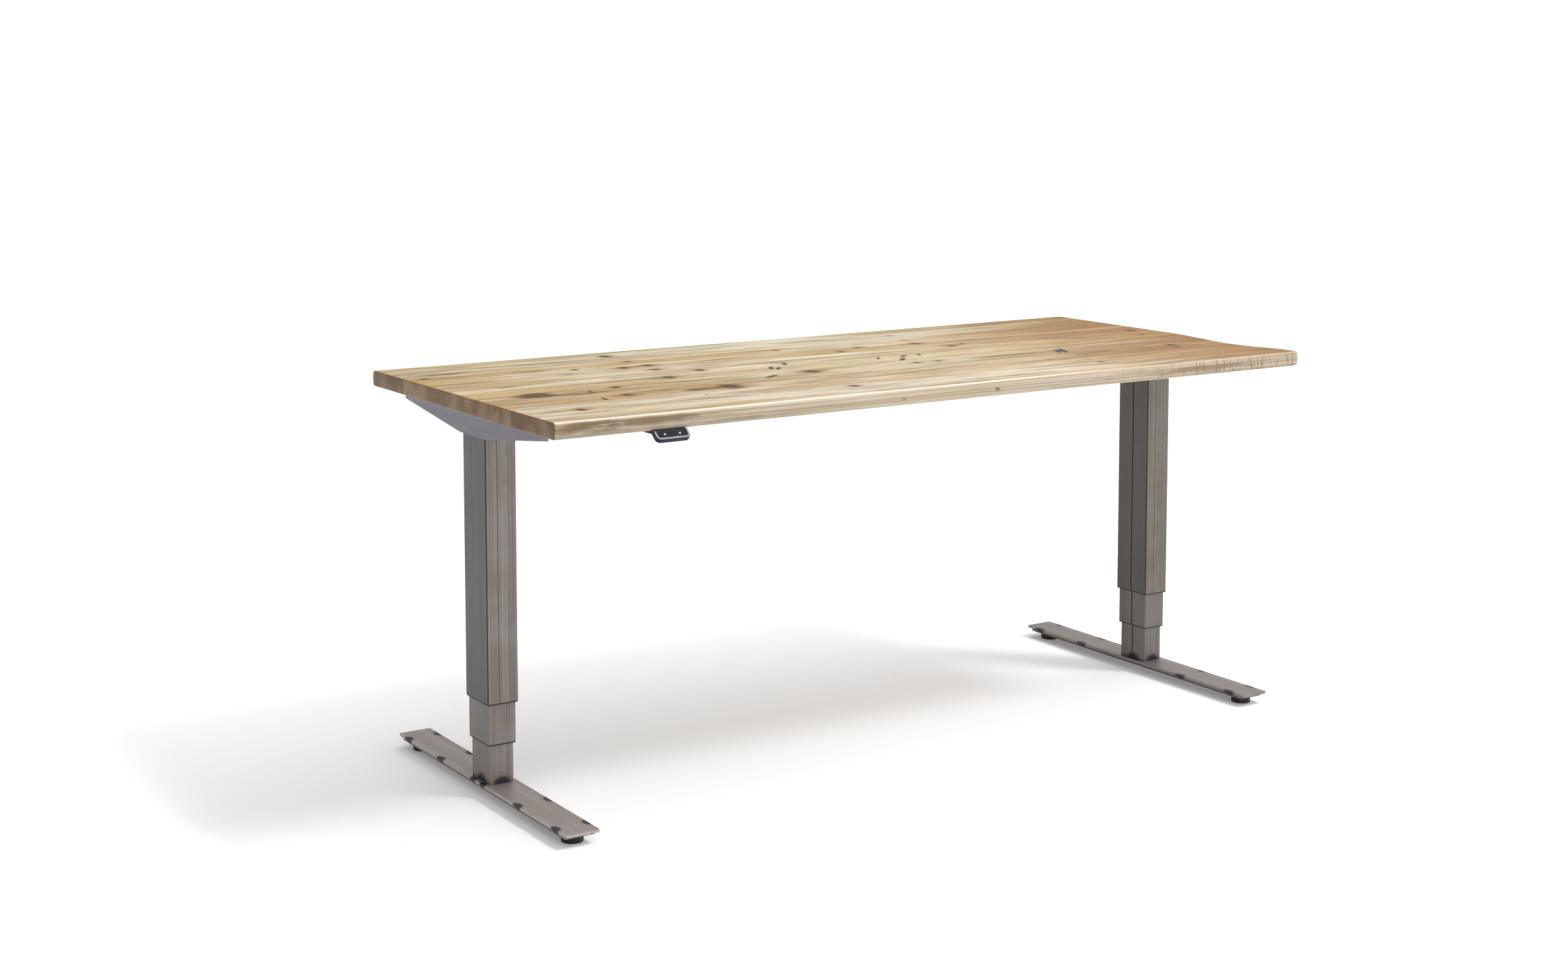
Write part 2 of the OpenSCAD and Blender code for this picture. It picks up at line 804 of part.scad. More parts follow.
motor(left);  // left_motor
side_bracket(left);  // left_side_bracket
drive_screw(left);  // left_drive_screw
bevel_wheel(left);  // left_bevel_wheel
pinion_shaft(left);  // left_pinion_shaft
outer_tube(right);  // right_outer_tube
outer_collar(right);  // right_outer_collar
gear_housing(right);  // right_gear_housing
motor(right);  // right_motor
side_bracket(right);  // right_side_bracket
drive_screw(right);  // right_drive_screw
bevel_wheel(right);  // right_bevel_wheel
pinion_shaft(right);  // right_pinion_shaft
front_rail();
back_rail();
control_box();
handset_body();
handset_bezel();
up_button();
down_button();
plank_1();
plank_2();
plank_3();
plank_4();
plank_5();
plank_6();
plank_7();
frame_screws();
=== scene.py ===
import json
import math

import bmesh
import bpy
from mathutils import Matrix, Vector, noise


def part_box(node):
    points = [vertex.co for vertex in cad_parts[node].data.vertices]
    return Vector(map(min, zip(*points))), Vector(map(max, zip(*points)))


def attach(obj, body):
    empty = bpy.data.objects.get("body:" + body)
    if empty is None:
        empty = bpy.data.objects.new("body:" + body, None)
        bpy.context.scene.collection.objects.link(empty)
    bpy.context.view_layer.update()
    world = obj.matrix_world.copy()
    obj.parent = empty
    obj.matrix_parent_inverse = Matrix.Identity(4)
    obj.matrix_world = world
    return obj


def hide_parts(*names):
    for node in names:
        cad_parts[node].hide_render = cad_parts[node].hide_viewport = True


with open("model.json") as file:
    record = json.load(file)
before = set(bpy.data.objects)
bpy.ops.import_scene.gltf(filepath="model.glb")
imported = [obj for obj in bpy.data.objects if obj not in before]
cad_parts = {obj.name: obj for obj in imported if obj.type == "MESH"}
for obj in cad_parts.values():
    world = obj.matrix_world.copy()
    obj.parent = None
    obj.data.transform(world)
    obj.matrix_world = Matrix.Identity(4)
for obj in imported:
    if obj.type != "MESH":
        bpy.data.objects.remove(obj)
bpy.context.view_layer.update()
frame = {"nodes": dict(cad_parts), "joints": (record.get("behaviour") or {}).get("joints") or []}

MM = 0.001
SIDES = ("left", "right")
ENDS = ("front", "back")

# The desktop's box, read from the frame
DESK_LOW = Vector((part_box("plank_1")[0].x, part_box("plank_7")[0].y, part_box("plank_1")[0].z))
DESK_HIGH = Vector((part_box("plank_1")[1].x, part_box("plank_1")[1].y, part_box("plank_1")[1].z))


def middle(node):
    """The centre of a CAD node's box."""
    low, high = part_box(node)
    return (low + high) / 2


def tone(code):
    """A colour written as six hex digits, as linear red, green, blue and alpha."""
    parts = [int(code[i : i + 2], 16) / 255 for i in (0, 2, 4)]
    linear = [p / 12.92 if p <= 0.04045 else ((p + 0.055) / 1.055) ** 2.4 for p in parts]
    return (*linear, 1.0)


# ---------------------------------------------------------------- materials


class Graph:
    """A material under construction: short calls that add and join its nodes."""

    def __init__(self, name, **surface):
        self.material = bpy.data.materials.new(name)
        self.material.use_nodes = True
        self.tree = self.material.node_tree
        self.tree.nodes.clear()
        self.surface = self.tree.nodes.new("ShaderNodeBsdfPrincipled")
        output = self.tree.nodes.new("ShaderNodeOutputMaterial")
        self.tree.links.new(self.surface.outputs["BSDF"], output.inputs["Surface"])
        coordinates = self.tree.nodes.new("ShaderNodeTexCoord")
        self.place = coordinates.outputs["Object"]
        self.facing = coordinates.outputs["Normal"]
        for socket, value in surface.items():
            self.put(self.surface.inputs[socket.replace("_", " ")], value)

    def put(self, socket, value):
        """Joins a node's output to the socket, or sets a plain value on it."""
        if isinstance(value, bpy.types.NodeSocket):
            self.tree.links.new(value, socket)
        else:
            socket.default_value = value

    def calc(self, operation, a, b=0.0, c=0.0):
        """One math node's result."""
        node = self.tree.nodes.new("ShaderNodeMath")
        node.operation = operation
        for socket, value in zip(node.inputs, (a, b, c)):
            self.put(socket, value)
        return node.outputs[0]

    def vector(self, operation, a, b=(0.0, 0.0, 0.0)):
        """One vector math node's result, a plain number where the operation measures something."""
        node = self.tree.nodes.new("ShaderNodeVectorMath")
        node.operation = operation
        self.put(node.inputs[0], a)
        self.put(node.inputs[1], b)
        return node.outputs["Value" if operation in ("LENGTH", "DISTANCE", "DOT_PRODUCT") else "Vector"]

    def split(self, vector):
        """A vector's x, y and z."""
        node = self.tree.nodes.new("ShaderNodeSeparateXYZ")
        self.put(node.inputs[0], vector)
        return node.outputs[0], node.outputs[1], node.outputs[2]

    def join(self, x, y, z):
        """A vector from its x, y and z."""
        node = self.tree.nodes.new("ShaderNodeCombineXYZ")
        for socket, value in zip(node.inputs, (x, y, z)):
            self.put(socket, value)
        return node.outputs[0]

    def cloud(self, stretch, shift=0.0, detail=3.0, roughness=0.5):
        """Noise whose grains measure one over stretch, in metres, along x, y and z."""
        scaled = self.vector("MULTIPLY", self.place, stretch)
        node = self.tree.nodes.new("ShaderNodeTexNoise")
        self.put(node.inputs["Vector"], self.vector("ADD", scaled, (shift, shift * 1.7, shift * 0.6)))
        self.put(node.inputs["Scale"], 1.0)
        self.put(node.inputs["Detail"], detail)
        self.put(node.inputs["Roughness"], roughness)
        return node.outputs[0]

    def fade(self, value, start, end, low=0.0, high=1.0):
        """Goes smoothly from low at start to high at end."""
        node = self.tree.nodes.new("ShaderNodeMapRange")
        node.interpolation_type = "SMOOTHSTEP"
        for socket, item in zip(node.inputs, (value, start, end, low, high)):
            self.put(socket, item)
        return node.outputs[0]

    def mix(self, share, first, second, mode="MIX"):
        """The first colour, with this share of the second blended in."""
        node = self.tree.nodes.new("ShaderNodeMix")
        node.data_type = "RGBA"
        node.blend_type = mode
        self.put(node.inputs[0], share)
        self.put(node.inputs[6], first)
        self.put(node.inputs[7], second)
        return node.outputs[2]

    def total(self, *values):
        """The sum of all values."""
        result = values[0]
        for value in values[1:]:
            result = self.calc("ADD", result, value)
        return result

    def times(self, *values):
        """The product of all values."""
        result = values[0]
        for value in values[1:]:
            result = self.calc("MULTIPLY", result, value)
        return result

    def swing(self, cloud, amount):
        """How far a noise swings either side of its middle, times an amount."""
        return self.times(self.calc("SUBTRACT", cloud, 0.5), amount)

    def bump(self, height, distance):
        """Puts a fine relief on the surface, distance metres deep."""
        node = self.tree.nodes.new("ShaderNodeBump")
        self.put(node.inputs["Height"], height)
        self.put(node.inputs["Distance"], distance)
        self.put(self.surface.inputs["Normal"], node.outputs["Normal"])

    def colour(self, value):
        """Sets the surface's colour and hands back the finished material."""
        self.put(self.surface.inputs["Base Color"], value)
        return self.material

    def rough(self, value):
        """Sets the surface's roughness."""
        self.put(self.surface.inputs["Roughness"], value)

    def spot(self, centre, radii):
        """How far a point is from a spot's middle, where 1 is the spot's rim."""
        away = self.vector("SUBTRACT", self.place, centre)
        return self.vector("LENGTH", self.vector("DIVIDE", away, radii))


class Board:
    """What sets one board's wood apart from the next.

    pale, warm and brown are its colours. ring is the width of a growth ring in millimetres. warmth is how
    much of the board is warm in tone. sawn scales how light its sawn ends are.
    """

    def __init__(self, pale, warm, brown, pith, ring, warmth, sawn, knots=(), slashes=(), stains=(),
                 edge_marks=()):
        self.pale = tone(pale)
        self.warm = tone(warm)
        self.brown = tone(brown)
        self.pith = pith
        self.ring = ring
        self.warmth = warmth
        self.sawn = sawn
        self.knots = knots
        self.slashes = slashes
        self.stains = stains
        self.edge_marks = edge_marks


# Places and lengths are millimetres, with x and y from the desk's middle: (x, y, radius) for a knot,
# (x, y, length, turn in degrees) for a slash, (x, y, length, width, strength) for a stain and
# (x, z from the underside, length, height, strength) for a mark on the front edge. A pith, which the
# growth rings run round, is (y, z from the board's middle).
BOARDS = {
    1: Board("d0c7b1", "b9a377", "846c46", (326, -12), warmth=0.42, sawn=0.92, ring=5.0,
             knots=((-405, 332, 11), (690, 380, 6), (310, 300, 5)),
             stains=((-560, 300, 300, 24, 0.35), (250, 330, 420, 16, 0.3), (-800, 262, 160, 18, 0.6),
                     (-740, 338, 240, 14, 0.4), (620, 270, 380, 26, 0.35))),
    2: Board("d2c6a9", "bb9c66", "7f6036", (196, 30), warmth=0.6, sawn=1.12, ring=3.6,
             knots=((-405, 240, 10), (-865, 222, 8), (-458, 154, 11), (-398, 160, 11), (-555, 184, 6),
                    (130, 166, 8), (275, 154, 11), (60, 128, 6), (-50, 218, 5)),
             stains=((-640, 205, 190, 26, 0.55), (-600, 132, 150, 20, 0.75), (-200, 160, 180, 22, 0.35),
                     (290, 215, 60, 34, 0.6), (420, 150, 300, 14, 0.45), (-430, 158, 150, 22, 0.55))),
    3: Board("d6ceb6", "bfa679", "8c6c42", (40, -26), warmth=0.52, sawn=0.95, ring=4.6,
             knots=((-415, 104, 12), (-345, 42, 9), (320, 80, 9), (365, 104, 8), (838, 78, 12), (812, 10, 7)),
             slashes=((-150, 28, 46, 62),),
             stains=((-545, 30, 110, 12, 0.6), (-780, 34, 110, 12, 0.55), (600, 60, 260, 26, 0.4),
                     (-150, 40, 60, 30, 0.4), (-300, 90, 260, 12, 0.4), (330, 88, 120, 24, 0.5))),
    4: Board("cfc09d", "c2a26b", "876738", (-30, 40), warmth=0.55, sawn=1.05, ring=5.2,
             knots=((-450, -14, 13),),
             slashes=((-206, -8, 52, 60), (64, -4, 38, 52), (180, 26, 116, 70), (96, -46, 66, 48),
                      (-197, -22, 44, 52), (140, 6, 70, 40)),
             stains=((-470, -14, 90, 22, 0.6), (120, -20, 160, 20, 0.35))),
    5: Board("cabb9a", "b6996b", "6f5430", (-100, -8), warmth=0.6, sawn=0.93, ring=3.4,
             knots=((-604, -78, 9), (-165, -98, 14), (92, -104, 7), (146, -104, 6)),
             slashes=((-672, -104, 36, 82), (472, -116, 84, 66), (456, -118, 60, 62), (-270, -112, 60, 30)),
             stains=((-783, -96, 150, 40, 0.95), (-690, -120, 200, 18, 0.7), (460, -116, 90, 34, 0.7),
                     (-165, -98, 130, 30, 0.7), (300, -110, 260, 24, 0.4), (-420, -80, 260, 14, 0.5))),
    6: Board("c9b692", "b69463", "6f4f2a", (-190, 34), warmth=0.6, sawn=1.0, ring=3.6,
             knots=((-412, -186, 22), (735, -170, 10), (720, -208, 7), (-632, -176, 11)),
             slashes=((-693, -198, 40, 84), (735, -168, 34, 70)),
             stains=((-455, -188, 200, 22, 0.9), (-150, -190, 380, 30, 0.45), (500, -175, 260, 26, 0.4),
                     (-630, -180, 110, 30, 0.6), (-560, -156, 260, 10, 0.75), (360, -205, 60, 16, 0.5))),
    7: Board("d7ccb6", "c3aa80", "8b7049", (-318, -14), warmth=0.4, sawn=0.85, ring=4.8,
             knots=((-790, -290, 10), (-208, -308, 8), (420, -300, 5)),
             slashes=((-505, -253, 10, 80),),
             stains=((-330, -310, 150, 8, 0.8), (-305, -348, 60, 8, 0.7), (-840, -285, 110, 10, 0.6),
                     (-500, -300, 300, 12, 0.4), (560, -330, 320, 24, 0.4), (200, -360, 300, 14, 0.35)),
             edge_marks=((-850, 20, 190, 24, 0.85), (-720, 21, 280, 16, 0.75), (-790, 8, 220, 8, 0.5),
                         (-520, 8, 260, 8, 0.5), (70, 15, 14, 9, 0.9), (-155, 13, 9, 5, 0.7),
                         (620, 14, 340, 14, 0.45))),
}

AMBER = tone("94703a")
HEARTWOOD = tone("432709")
SOOT = tone("17110c")
STAIN = tone("5d3f17")
DEEP_STAIN = tone("4a3414")
GREY_STAIN = tone("8f8470")
FADED_FIBRE = tone("d6ccb6")
AGED_GOLD = tone("c9a970")
# Painted highlight: the pale cream of the highlight along the front arris
PAINTED_ARRIS_HIGHLIGHT = tone("efe6da")

# How far a knot's core and the bent fibres round it reach, in knot radii along x and y
KNOT_CORE = (1.15, 1.45)
KNOT_HALO = (4.6, 2.6)

# How many rings the fibres bend for each millimetre of a knot's radius
KNOT_BEND = 0.3

# A stain's radii along x and y as shares of its length and width
STAIN_REACH = (0.33, 0.85)

# How deep the knots and stains go into the board, and the bent fibres round the knots
MARK_DEPTH = 20 * MM
HALO_DEPTH = 30 * MM

# How far the pith winds in all, and how many rings the rings waver by in all
PITH_SWAY = 50 * MM
RING_WAVER = 3.0


def growth(g, number, board):
    """Growth rings as solid wood: a phase that rises by one per ring from a slightly winding pith."""
    _, y, z = g.split(g.place)
    mid_z = (DESK_LOW.z + DESK_HIGH.z) / 2
    sway_y = g.calc("MULTIPLY_ADD", g.cloud((1.2, 0, 0), number * 3.1, 1.0), PITH_SWAY, -PITH_SWAY / 2)
    sway_z = g.calc("MULTIPLY_ADD", g.cloud((0.9, 0, 0), number * 7.7, 1.0), PITH_SWAY, -PITH_SWAY / 2)
    off_y = g.total(y, -board.pith[0] * MM, sway_y)
    off_z = g.total(z, -mid_z - board.pith[1] * MM, sway_z)
    radius = g.vector("LENGTH", g.join(0.0, off_y, off_z))
    wander = g.cloud((2.5, 30, 30), number * 1.3, 2.0)
    return g.total(g.calc("DIVIDE", radius, board.ring * MM), g.times(wander, RING_WAVER))


def knot_spots(g, board):
    """For each knot, its size, how far a point is from its core and how much the fibres bend there."""
    spots = []
    for knot_x, knot_y, size in board.knots:
        centre = (knot_x * MM, knot_y * MM, DESK_HIGH.z)
        core = g.spot(centre, (size * KNOT_CORE[0] * MM, size * KNOT_CORE[1] * MM, MARK_DEPTH))
        halo_reach = (size * KNOT_HALO[0] * MM, size * KNOT_HALO[1] * MM, HALO_DEPTH)
        halo = g.fade(g.spot(centre, halo_reach), 0.1, 1.0, 1.0, 0.0)
        spots.append((size, core, halo))
    return spots


def slash_marks(g, board):
    """Dark straight cuts in the top face, wider where they are longer."""
    narrowest, widest, slimness = 3.6, 7.0, 8.5
    cuts = 0.0
    for slash_x, slash_y, length, turn in board.slashes:
        angle = math.radians(turn)
        half_length = length / 2 * MM
        half_width = min(widest, max(narrowest, length / slimness)) * MM
        away = g.vector("SUBTRACT", g.place, (slash_x * MM, slash_y * MM, 0.0))
        lengthwise = (math.cos(angle) / half_length, math.sin(angle) / half_length, 0.0)
        widthwise = (-math.sin(angle) / half_width, math.cos(angle) / half_width, 0.0)
        along = g.vector("DOT_PRODUCT", away, lengthwise)
        across = g.vector("DOT_PRODUCT", away, widthwise)
        line = g.vector("LENGTH", g.join(along, across, 0.0))
        cuts = g.total(g.fade(line, 0.55, 1.1, 1.0, 0.0), cuts)
    upward = g.fade(g.split(g.facing)[2], 0.3, 0.8)
    return g.calc("MINIMUM", g.times(cuts, upward), 1.0)


def pine(number, board):
    """Varnished old pine with streaks, stains, knots and cuts, and rings that run through to its ends."""
    g = Graph(f"reclaimed_pine_{number}", Specular_IOR_Level=0.1, Coat_Weight=0.03, Coat_Roughness=0.1)
    wide = g.cloud((1.6, 17, 17), number * 5.3, 4.0, 0.55)
    streak = g.cloud((2.6, 48, 48), number * 2.9, 5.0, 0.65)
    fine = g.cloud((7, 170, 170), number * 6.1, 4.0, 0.6)
    fibre = g.cloud((22, 1300, 1300), number, 2.0)
    blotch = g.cloud((4.5, 14, 14), number * 9.1, 4.0, 0.6)
    phase = growth(g, number, board)
    spots = knot_spots(g, board)
    for size, _, halo in spots:
        phase = g.total(phase, g.times(halo, size * KNOT_BEND))
    ring = g.calc("FRACT", phase)
    late = g.times(g.fade(ring, 0.25, 0.85), g.fade(ring, 0.90, 1.0, 1.0, 0.0))

    wood = plain_wood(g, board, wide, streak, fine, fibre, blotch, late)
    wood = stain_marks(g, board, wood, streak, fine)
    wood, sunk = knot_marks(g, spots, wood, streak, fine)
    cuts = slash_marks(g, board)
    wood = g.mix(g.times(cuts, 0.93), wood, SOOT)
    normal_x, normal_y, normal_z = g.split(g.facing)
    wood = edge_wood(g, number, board, wood, normal_y, normal_z)
    wood = end_wood(g, board, wood, late, blotch, normal_x, normal_z)

    g.rough(g.fade(g.total(g.times(fibre, 0.4), g.times(blotch, 0.6)), 0.3, 0.7, 0.34, 0.52))
    grain = g.total(g.times(late, 0.3), g.times(fine, 0.4), g.times(wide, 0.6))
    g.bump(g.total(grain, g.times(sunk, -0.5), g.times(cuts, -1.2)), 0.6 * MM)
    return g.colour(wood)


def plain_wood(g, board, wide, streak, fine, fibre, blotch, late):
    """The board's own colours, browner in the late rings and streaks, and more golden towards the right."""
    x = g.split(g.place)[0]
    aged = g.fade(g.total(x, g.times(wide, 0.5), -0.25), 0.15, 0.95)
    warmer = g.total(g.times(wide, 0.8), g.times(streak, 0.2), g.times(aged, 0.07))
    warm_share = g.fade(warmer, 0.50 - 0.1 * board.warmth, 0.60 - 0.08 * board.warmth)
    wood = g.mix(warm_share, board.pale, board.warm)
    wood = g.mix(g.times(late, g.fade(streak, 0.42, 0.60, 0.12, 0.55)), wood, board.brown)
    wood = g.mix(g.times(g.fade(streak, 0.52, 0.64), 0.55), wood, board.brown)
    wood = g.mix(g.times(g.fade(fine, 0.52, 0.66), 0.35), wood, board.brown)
    wood = g.mix(g.times(g.fade(fibre, 0.50, 0.66), 0.25), wood, board.brown)
    wood = g.mix(g.times(g.fade(fine, 0.46, 0.36), 0.4), wood, FADED_FIBRE)
    greyed = g.total(g.times(blotch, 0.6), g.times(fine, 0.4))
    wood = g.mix(g.times(g.fade(greyed, 0.50, 0.62), 0.45), wood, GREY_STAIN)
    return g.mix(aged, wood, AGED_GOLD, "MULTIPLY")


def stain_marks(g, board, wood, streak, fine):
    """Ragged brown stains on the top face, with a firmer rim where they are strong."""
    for stain_x, stain_y, length, width, strength in board.stains:
        centre = (stain_x * MM, stain_y * MM, DESK_HIGH.z)
        patch = g.spot(centre, (length * STAIN_REACH[0] * MM, width * STAIN_REACH[1] * MM, MARK_DEPTH))
        strong = strength > 0.85
        ragged = g.total(patch, g.swing(streak, -1.3 if strong else -3.2), g.swing(fine, -1.6))
        share = g.times(g.fade(ragged, 0.55 if strong else 0.15, 1.05, 1.0, 0.0), strength)
        wood = g.mix(share, wood, DEEP_STAIN if strong else STAIN)
    return wood


def knot_marks(g, spots, wood, streak, fine):
    """The knots' colours, and how far their cores are sunk."""
    sunk = 0.0
    for _, core, halo in spots:
        uneven = g.total(core, g.swing(fine, 1.6), g.swing(streak, 1.2))
        wood = g.mix(g.times(g.fade(halo, 0.05, 0.8), 0.6), wood, AMBER)
        wood = g.mix(g.fade(uneven, 0.65, 1.25, 0.9, 0.0), wood, STAIN)
        wood = g.mix(g.fade(uneven, 0.2, 0.75, 0.95, 0.0), wood, HEARTWOOD)
        sunk = g.total(g.fade(uneven, 0.4, 1.0, 1.0, 0.0), sunk)
    return wood, sunk


def edge_wood(g, number, board, wood, normal_y, normal_z):
    """The long front and back edges: straw with level grain, grey marks, saw lines and a painted highlight
    along the top arris.
    """
    x = g.split(g.place)[0]
    across = g.calc("ABSOLUTE", normal_y)
    grain = g.cloud((1.8, 0, 520), number * 4.4, 5.0, 0.65)
    straw = g.mix(g.fade(grain, 0.42, 0.62), tone("bcb2a2"), tone("9a8a72"))
    straw = g.mix(g.times(g.fade(grain, 0.56, 0.70), 0.4), straw, tone("7b6750"))
    weathered = g.fade(x, -0.9, -0.2, 1.0, 0.0)
    straw = g.mix(g.times(weathered, 0.45), straw, tone("7d6b54"))
    mottle = g.cloud((16, 0, 90), number * 3.7, 4.0, 0.65)
    for mark_x, mark_z, length, height, strength in board.edge_marks:
        centre = (mark_x * MM, DESK_LOW.y, DESK_LOW.z + mark_z * MM)
        patch = g.spot(centre, (length / 2 * MM, 30 * MM, height / 2 * MM))
        ragged = g.total(patch, g.swing(mottle, -2.4), g.swing(grain, -0.8))
        straw = g.mix(g.times(g.fade(ragged, 0.4, 1.15, 1.0, 0.0), strength), straw, tone("5a452c"))
    saw = g.cloud((260, 0, 30), number * 1.9, 3.0, 0.6)
    saw_share = g.times(g.fade(saw, 0.52, 0.66), g.fade(x, 0.2, 0.7), 0.7)
    straw = g.mix(saw_share, straw, tone("7d6243"))
    wood = g.mix(g.times(g.fade(across, 0.35, 0.75), 0.85), wood, straw)
    # Painted highlight: a pale band along the top of the rounded front arris, stronger at the left
    arris = g.times(g.fade(normal_z, 0.50, 0.80), g.fade(normal_z, 0.90, 0.985, 1.0, 0.0))
    arris_highlight_share = g.times(arris, g.fade(across, 0.1, 0.3), g.fade(x, 0.0, 0.5, 0.6, 0.15))
    return g.mix(arris_highlight_share, wood, PAINTED_ARRIS_HIGHLIGHT)


def end_wood(g, board, wood, late, blotch, normal_x, normal_z):
    """The sawn ends: darker tan with the rings showing, and an orange line along the eased arris."""
    end_on = g.calc("ABSOLUTE", normal_x)
    tan = g.mix(g.fade(blotch, 0.40, 0.62), tone("a68a6c"), tone("866c51"))
    tan = g.mix(g.times(late, 0.9), tan, tone("5b4632"))
    tan = g.mix(1.0, tan, (board.sawn, board.sawn, board.sawn, 1.0), "MULTIPLY")
    wood = g.mix(g.fade(end_on, 0.5, 0.85), wood, tan)
    turning = g.times(g.fade(end_on, 0.12, 0.4), g.fade(end_on, 0.65, 0.92, 1.0, 0.0))
    arris = g.times(turning, g.fade(normal_z, 0.15, 0.5))
    return g.mix(g.times(arris, 0.8), wood, tone("c08447"))


def steel(name, light, dark, run, tints=(), lines=(), haze=0.5, roughness=0.42, sides=0.0, seam=None,
          painted_light_tone=None):
    """Bare drawn steel under clear lacquer.

    run is the axis its grain follows. haze is how strong its blue-grey clouds are. tints are weld marks as
    (centre, radii). lines are die marks as (x, width, depth of tone) on the front and back faces. sides is
    how much darker the faces to the left and right are painted, as painted shade, with a painted shade line
    along the rounded corners as well. seam is a groove's (y, half width, sign of x of the face it is on). The
    last argument multiplies the whole colour, as painted light that makes a piece lighter or darker.
    """
    g = Graph(name, Metallic=0.65, Coat_Weight=0.15, Coat_Roughness=0.3)
    x, y, _ = g.split(g.place)
    normal_x, normal_y, _ = g.split(g.facing)
    sideways = g.calc("ABSOLUTE", normal_x)
    stretch = {"x": (1.6, 260, 260), "y": (260, 1.6, 260), "z": (260, 260, 1.6)}[run]
    fine = g.cloud(stretch, 1.7, 4.0, 0.6)
    wide = g.cloud(tuple(s / 6 for s in stretch), 4.1, 3.0)
    smoke = g.cloud((6, 6, 6), 8.3, 5.0, 0.6)
    grit = g.cloud((420, 420, 420), 2.2, 2.0)
    share = g.fade(g.total(g.times(fine, 0.35), g.times(wide, 0.25), g.times(smoke, 0.4)), 0.40, 0.62)
    metal = g.mix(share, tone(dark), tone(light))
    metal = g.mix(g.times(g.fade(smoke, 0.45, 0.68), haze), metal, tone("7b7a84"))
    metal = g.mix(g.fade(grit, 0.60, 0.78, 0.0, 0.3), metal, tone("4c4742"))
    # Painted shade: the faces turned to the left and right are darkened towards a dark grey
    if sides:
        metal = g.mix(g.times(g.fade(sideways, 0.55, 0.95), sides), metal, tone("4a4846"))
    if seam:
        seam_y, half_width, sign = seam
        from_seam = g.calc("ABSOLUTE", g.calc("SUBTRACT", y, seam_y))
        facing_it = g.fade(g.times(normal_x, sign), 0.5, 0.9)
        groove = g.times(g.fade(from_seam, half_width * 0.8, half_width * 1.1, 1.0, 0.0), facing_it)
        metal = g.mix(g.times(groove, 0.93), metal, tone("151417"))
    if lines:
        straight_on = g.fade(g.calc("ABSOLUTE", normal_y), 0.8, 0.97)
        for line_x, width, depth in lines:
            away = g.calc("ABSOLUTE", g.calc("SUBTRACT", x, line_x))
            mark = g.times(g.fade(away, width * 0.3, width, 1.0, 0.0), straight_on)
            metal = g.mix(g.times(mark, depth), metal, tone("3b342e"))
    # Painted shade: a dark line along the rounded corners between the faces
    if sides:
        corner = g.times(g.fade(sideways, 0.25, 0.55), g.fade(sideways, 0.93, 0.998, 1.0, 0.0))
        metal = g.mix(g.calc("MINIMUM", g.times(corner, sides, 1.6), 1.0), metal, tone("2f2f34"))
    # Painted light: the whole colour is multiplied lighter or darker, standing in for uneven light on the
    # piece
    if painted_light_tone:
        metal = g.mix(1.0, metal, painted_light_tone, "MULTIPLY")
    hot = 0.0
    for centre, radii in tints:
        reach = g.total(g.spot(centre, radii), g.swing(smoke, 0.5))
        metal = g.mix(g.fade(reach, 0.95, 1.40, 0.6, 0.0), metal, tone("6e5540"))
        metal = g.mix(g.fade(reach, 0.88, 1.05, 0.95, 0.0), metal, tone("3f3a4a"))
        metal = g.mix(g.fade(reach, 0.60, 0.95, 0.95, 0.0), metal, tone("262731"))
        hot = g.total(g.fade(reach, 0.6, 1.2, 1.0, 0.0), hot)
    dull = g.total(g.times(fine, 0.6), g.times(smoke, 0.4))
    satin = g.fade(dull, 0.35, 0.65, roughness - 0.07, roughness + 0.1)
    g.rough(g.calc("ADD", satin, g.times(hot, 0.08)))
    g.bump(g.total(g.times(fine, 0.6), g.times(grit, 0.4)), 0.12 * MM)
    return g.colour(metal)


def moulded(name, colour, grain=1100.0, depth=0.08 * MM, roughness=0.5, wear=0.3, gloss=0.45):
    """Moulded plastic with a fine spark-eroded grain and a little dust and rubbing."""
    g = Graph(name, Specular_IOR_Level=gloss)
    grit = g.cloud((grain, grain, grain), 3.3, 2.0)
    rub = g.cloud((40, 40, 40), 6.1, 4.0, 0.6)
    base = tone(colour)
    lifted = tuple(min(1.0, c * 1.5 + 0.012) for c in base[:3]) + (1.0,)
    g.rough(g.fade(rub, 0.3, 0.7, roughness - 0.08, roughness + 0.1))
    g.bump(grit, depth)
    worn = g.fade(g.total(g.times(rub, 0.7), g.times(grit, 0.3)), 0.45, 0.75, 0.0, wear)
    return g.colour(g.mix(worn, base, lifted))


def machined(name, colour, worn, metallic=0.9, roughness=0.34, screw=None):
    """Turned or plated metal. screw is (x, y, pitch) for a rolled thread round the upright axis at x, y."""
    g = Graph(name, Metallic=metallic)
    x, y, z = g.split(g.place)
    scuff = g.cloud((60, 60, 60), 2.7, 4.0, 0.6)
    rings = g.cloud((30, 30, 2600), 5.9, 2.0)
    height = g.times(rings, 0.3)
    shown = g.mix(g.fade(scuff, 0.45, 0.75, 0.0, 0.6), tone(colour), tone(worn))
    if screw:
        axis_x, axis_y, pitch = screw
        turn = g.calc("ARCTAN2", g.total(y, -axis_y), g.total(x, -axis_x))
        climb = g.calc("SUBTRACT", g.calc("DIVIDE", z, pitch), g.calc("DIVIDE", turn, 2 * math.pi))
        from_crest = g.calc("ABSOLUTE", g.calc("SUBTRACT", g.calc("FRACT", climb), 0.5))
        groove = g.fade(from_crest, 0.12, 0.3)
        height = g.total(height, g.times(groove, 8.0))
        shown = g.mix(g.times(groove, 0.45), tone("2a2723"), shown)
    g.rough(g.fade(scuff, 0.3, 0.7, roughness - 0.06, roughness + 0.14))
    g.bump(height, 0.2 * MM)
    return g.colour(shown)


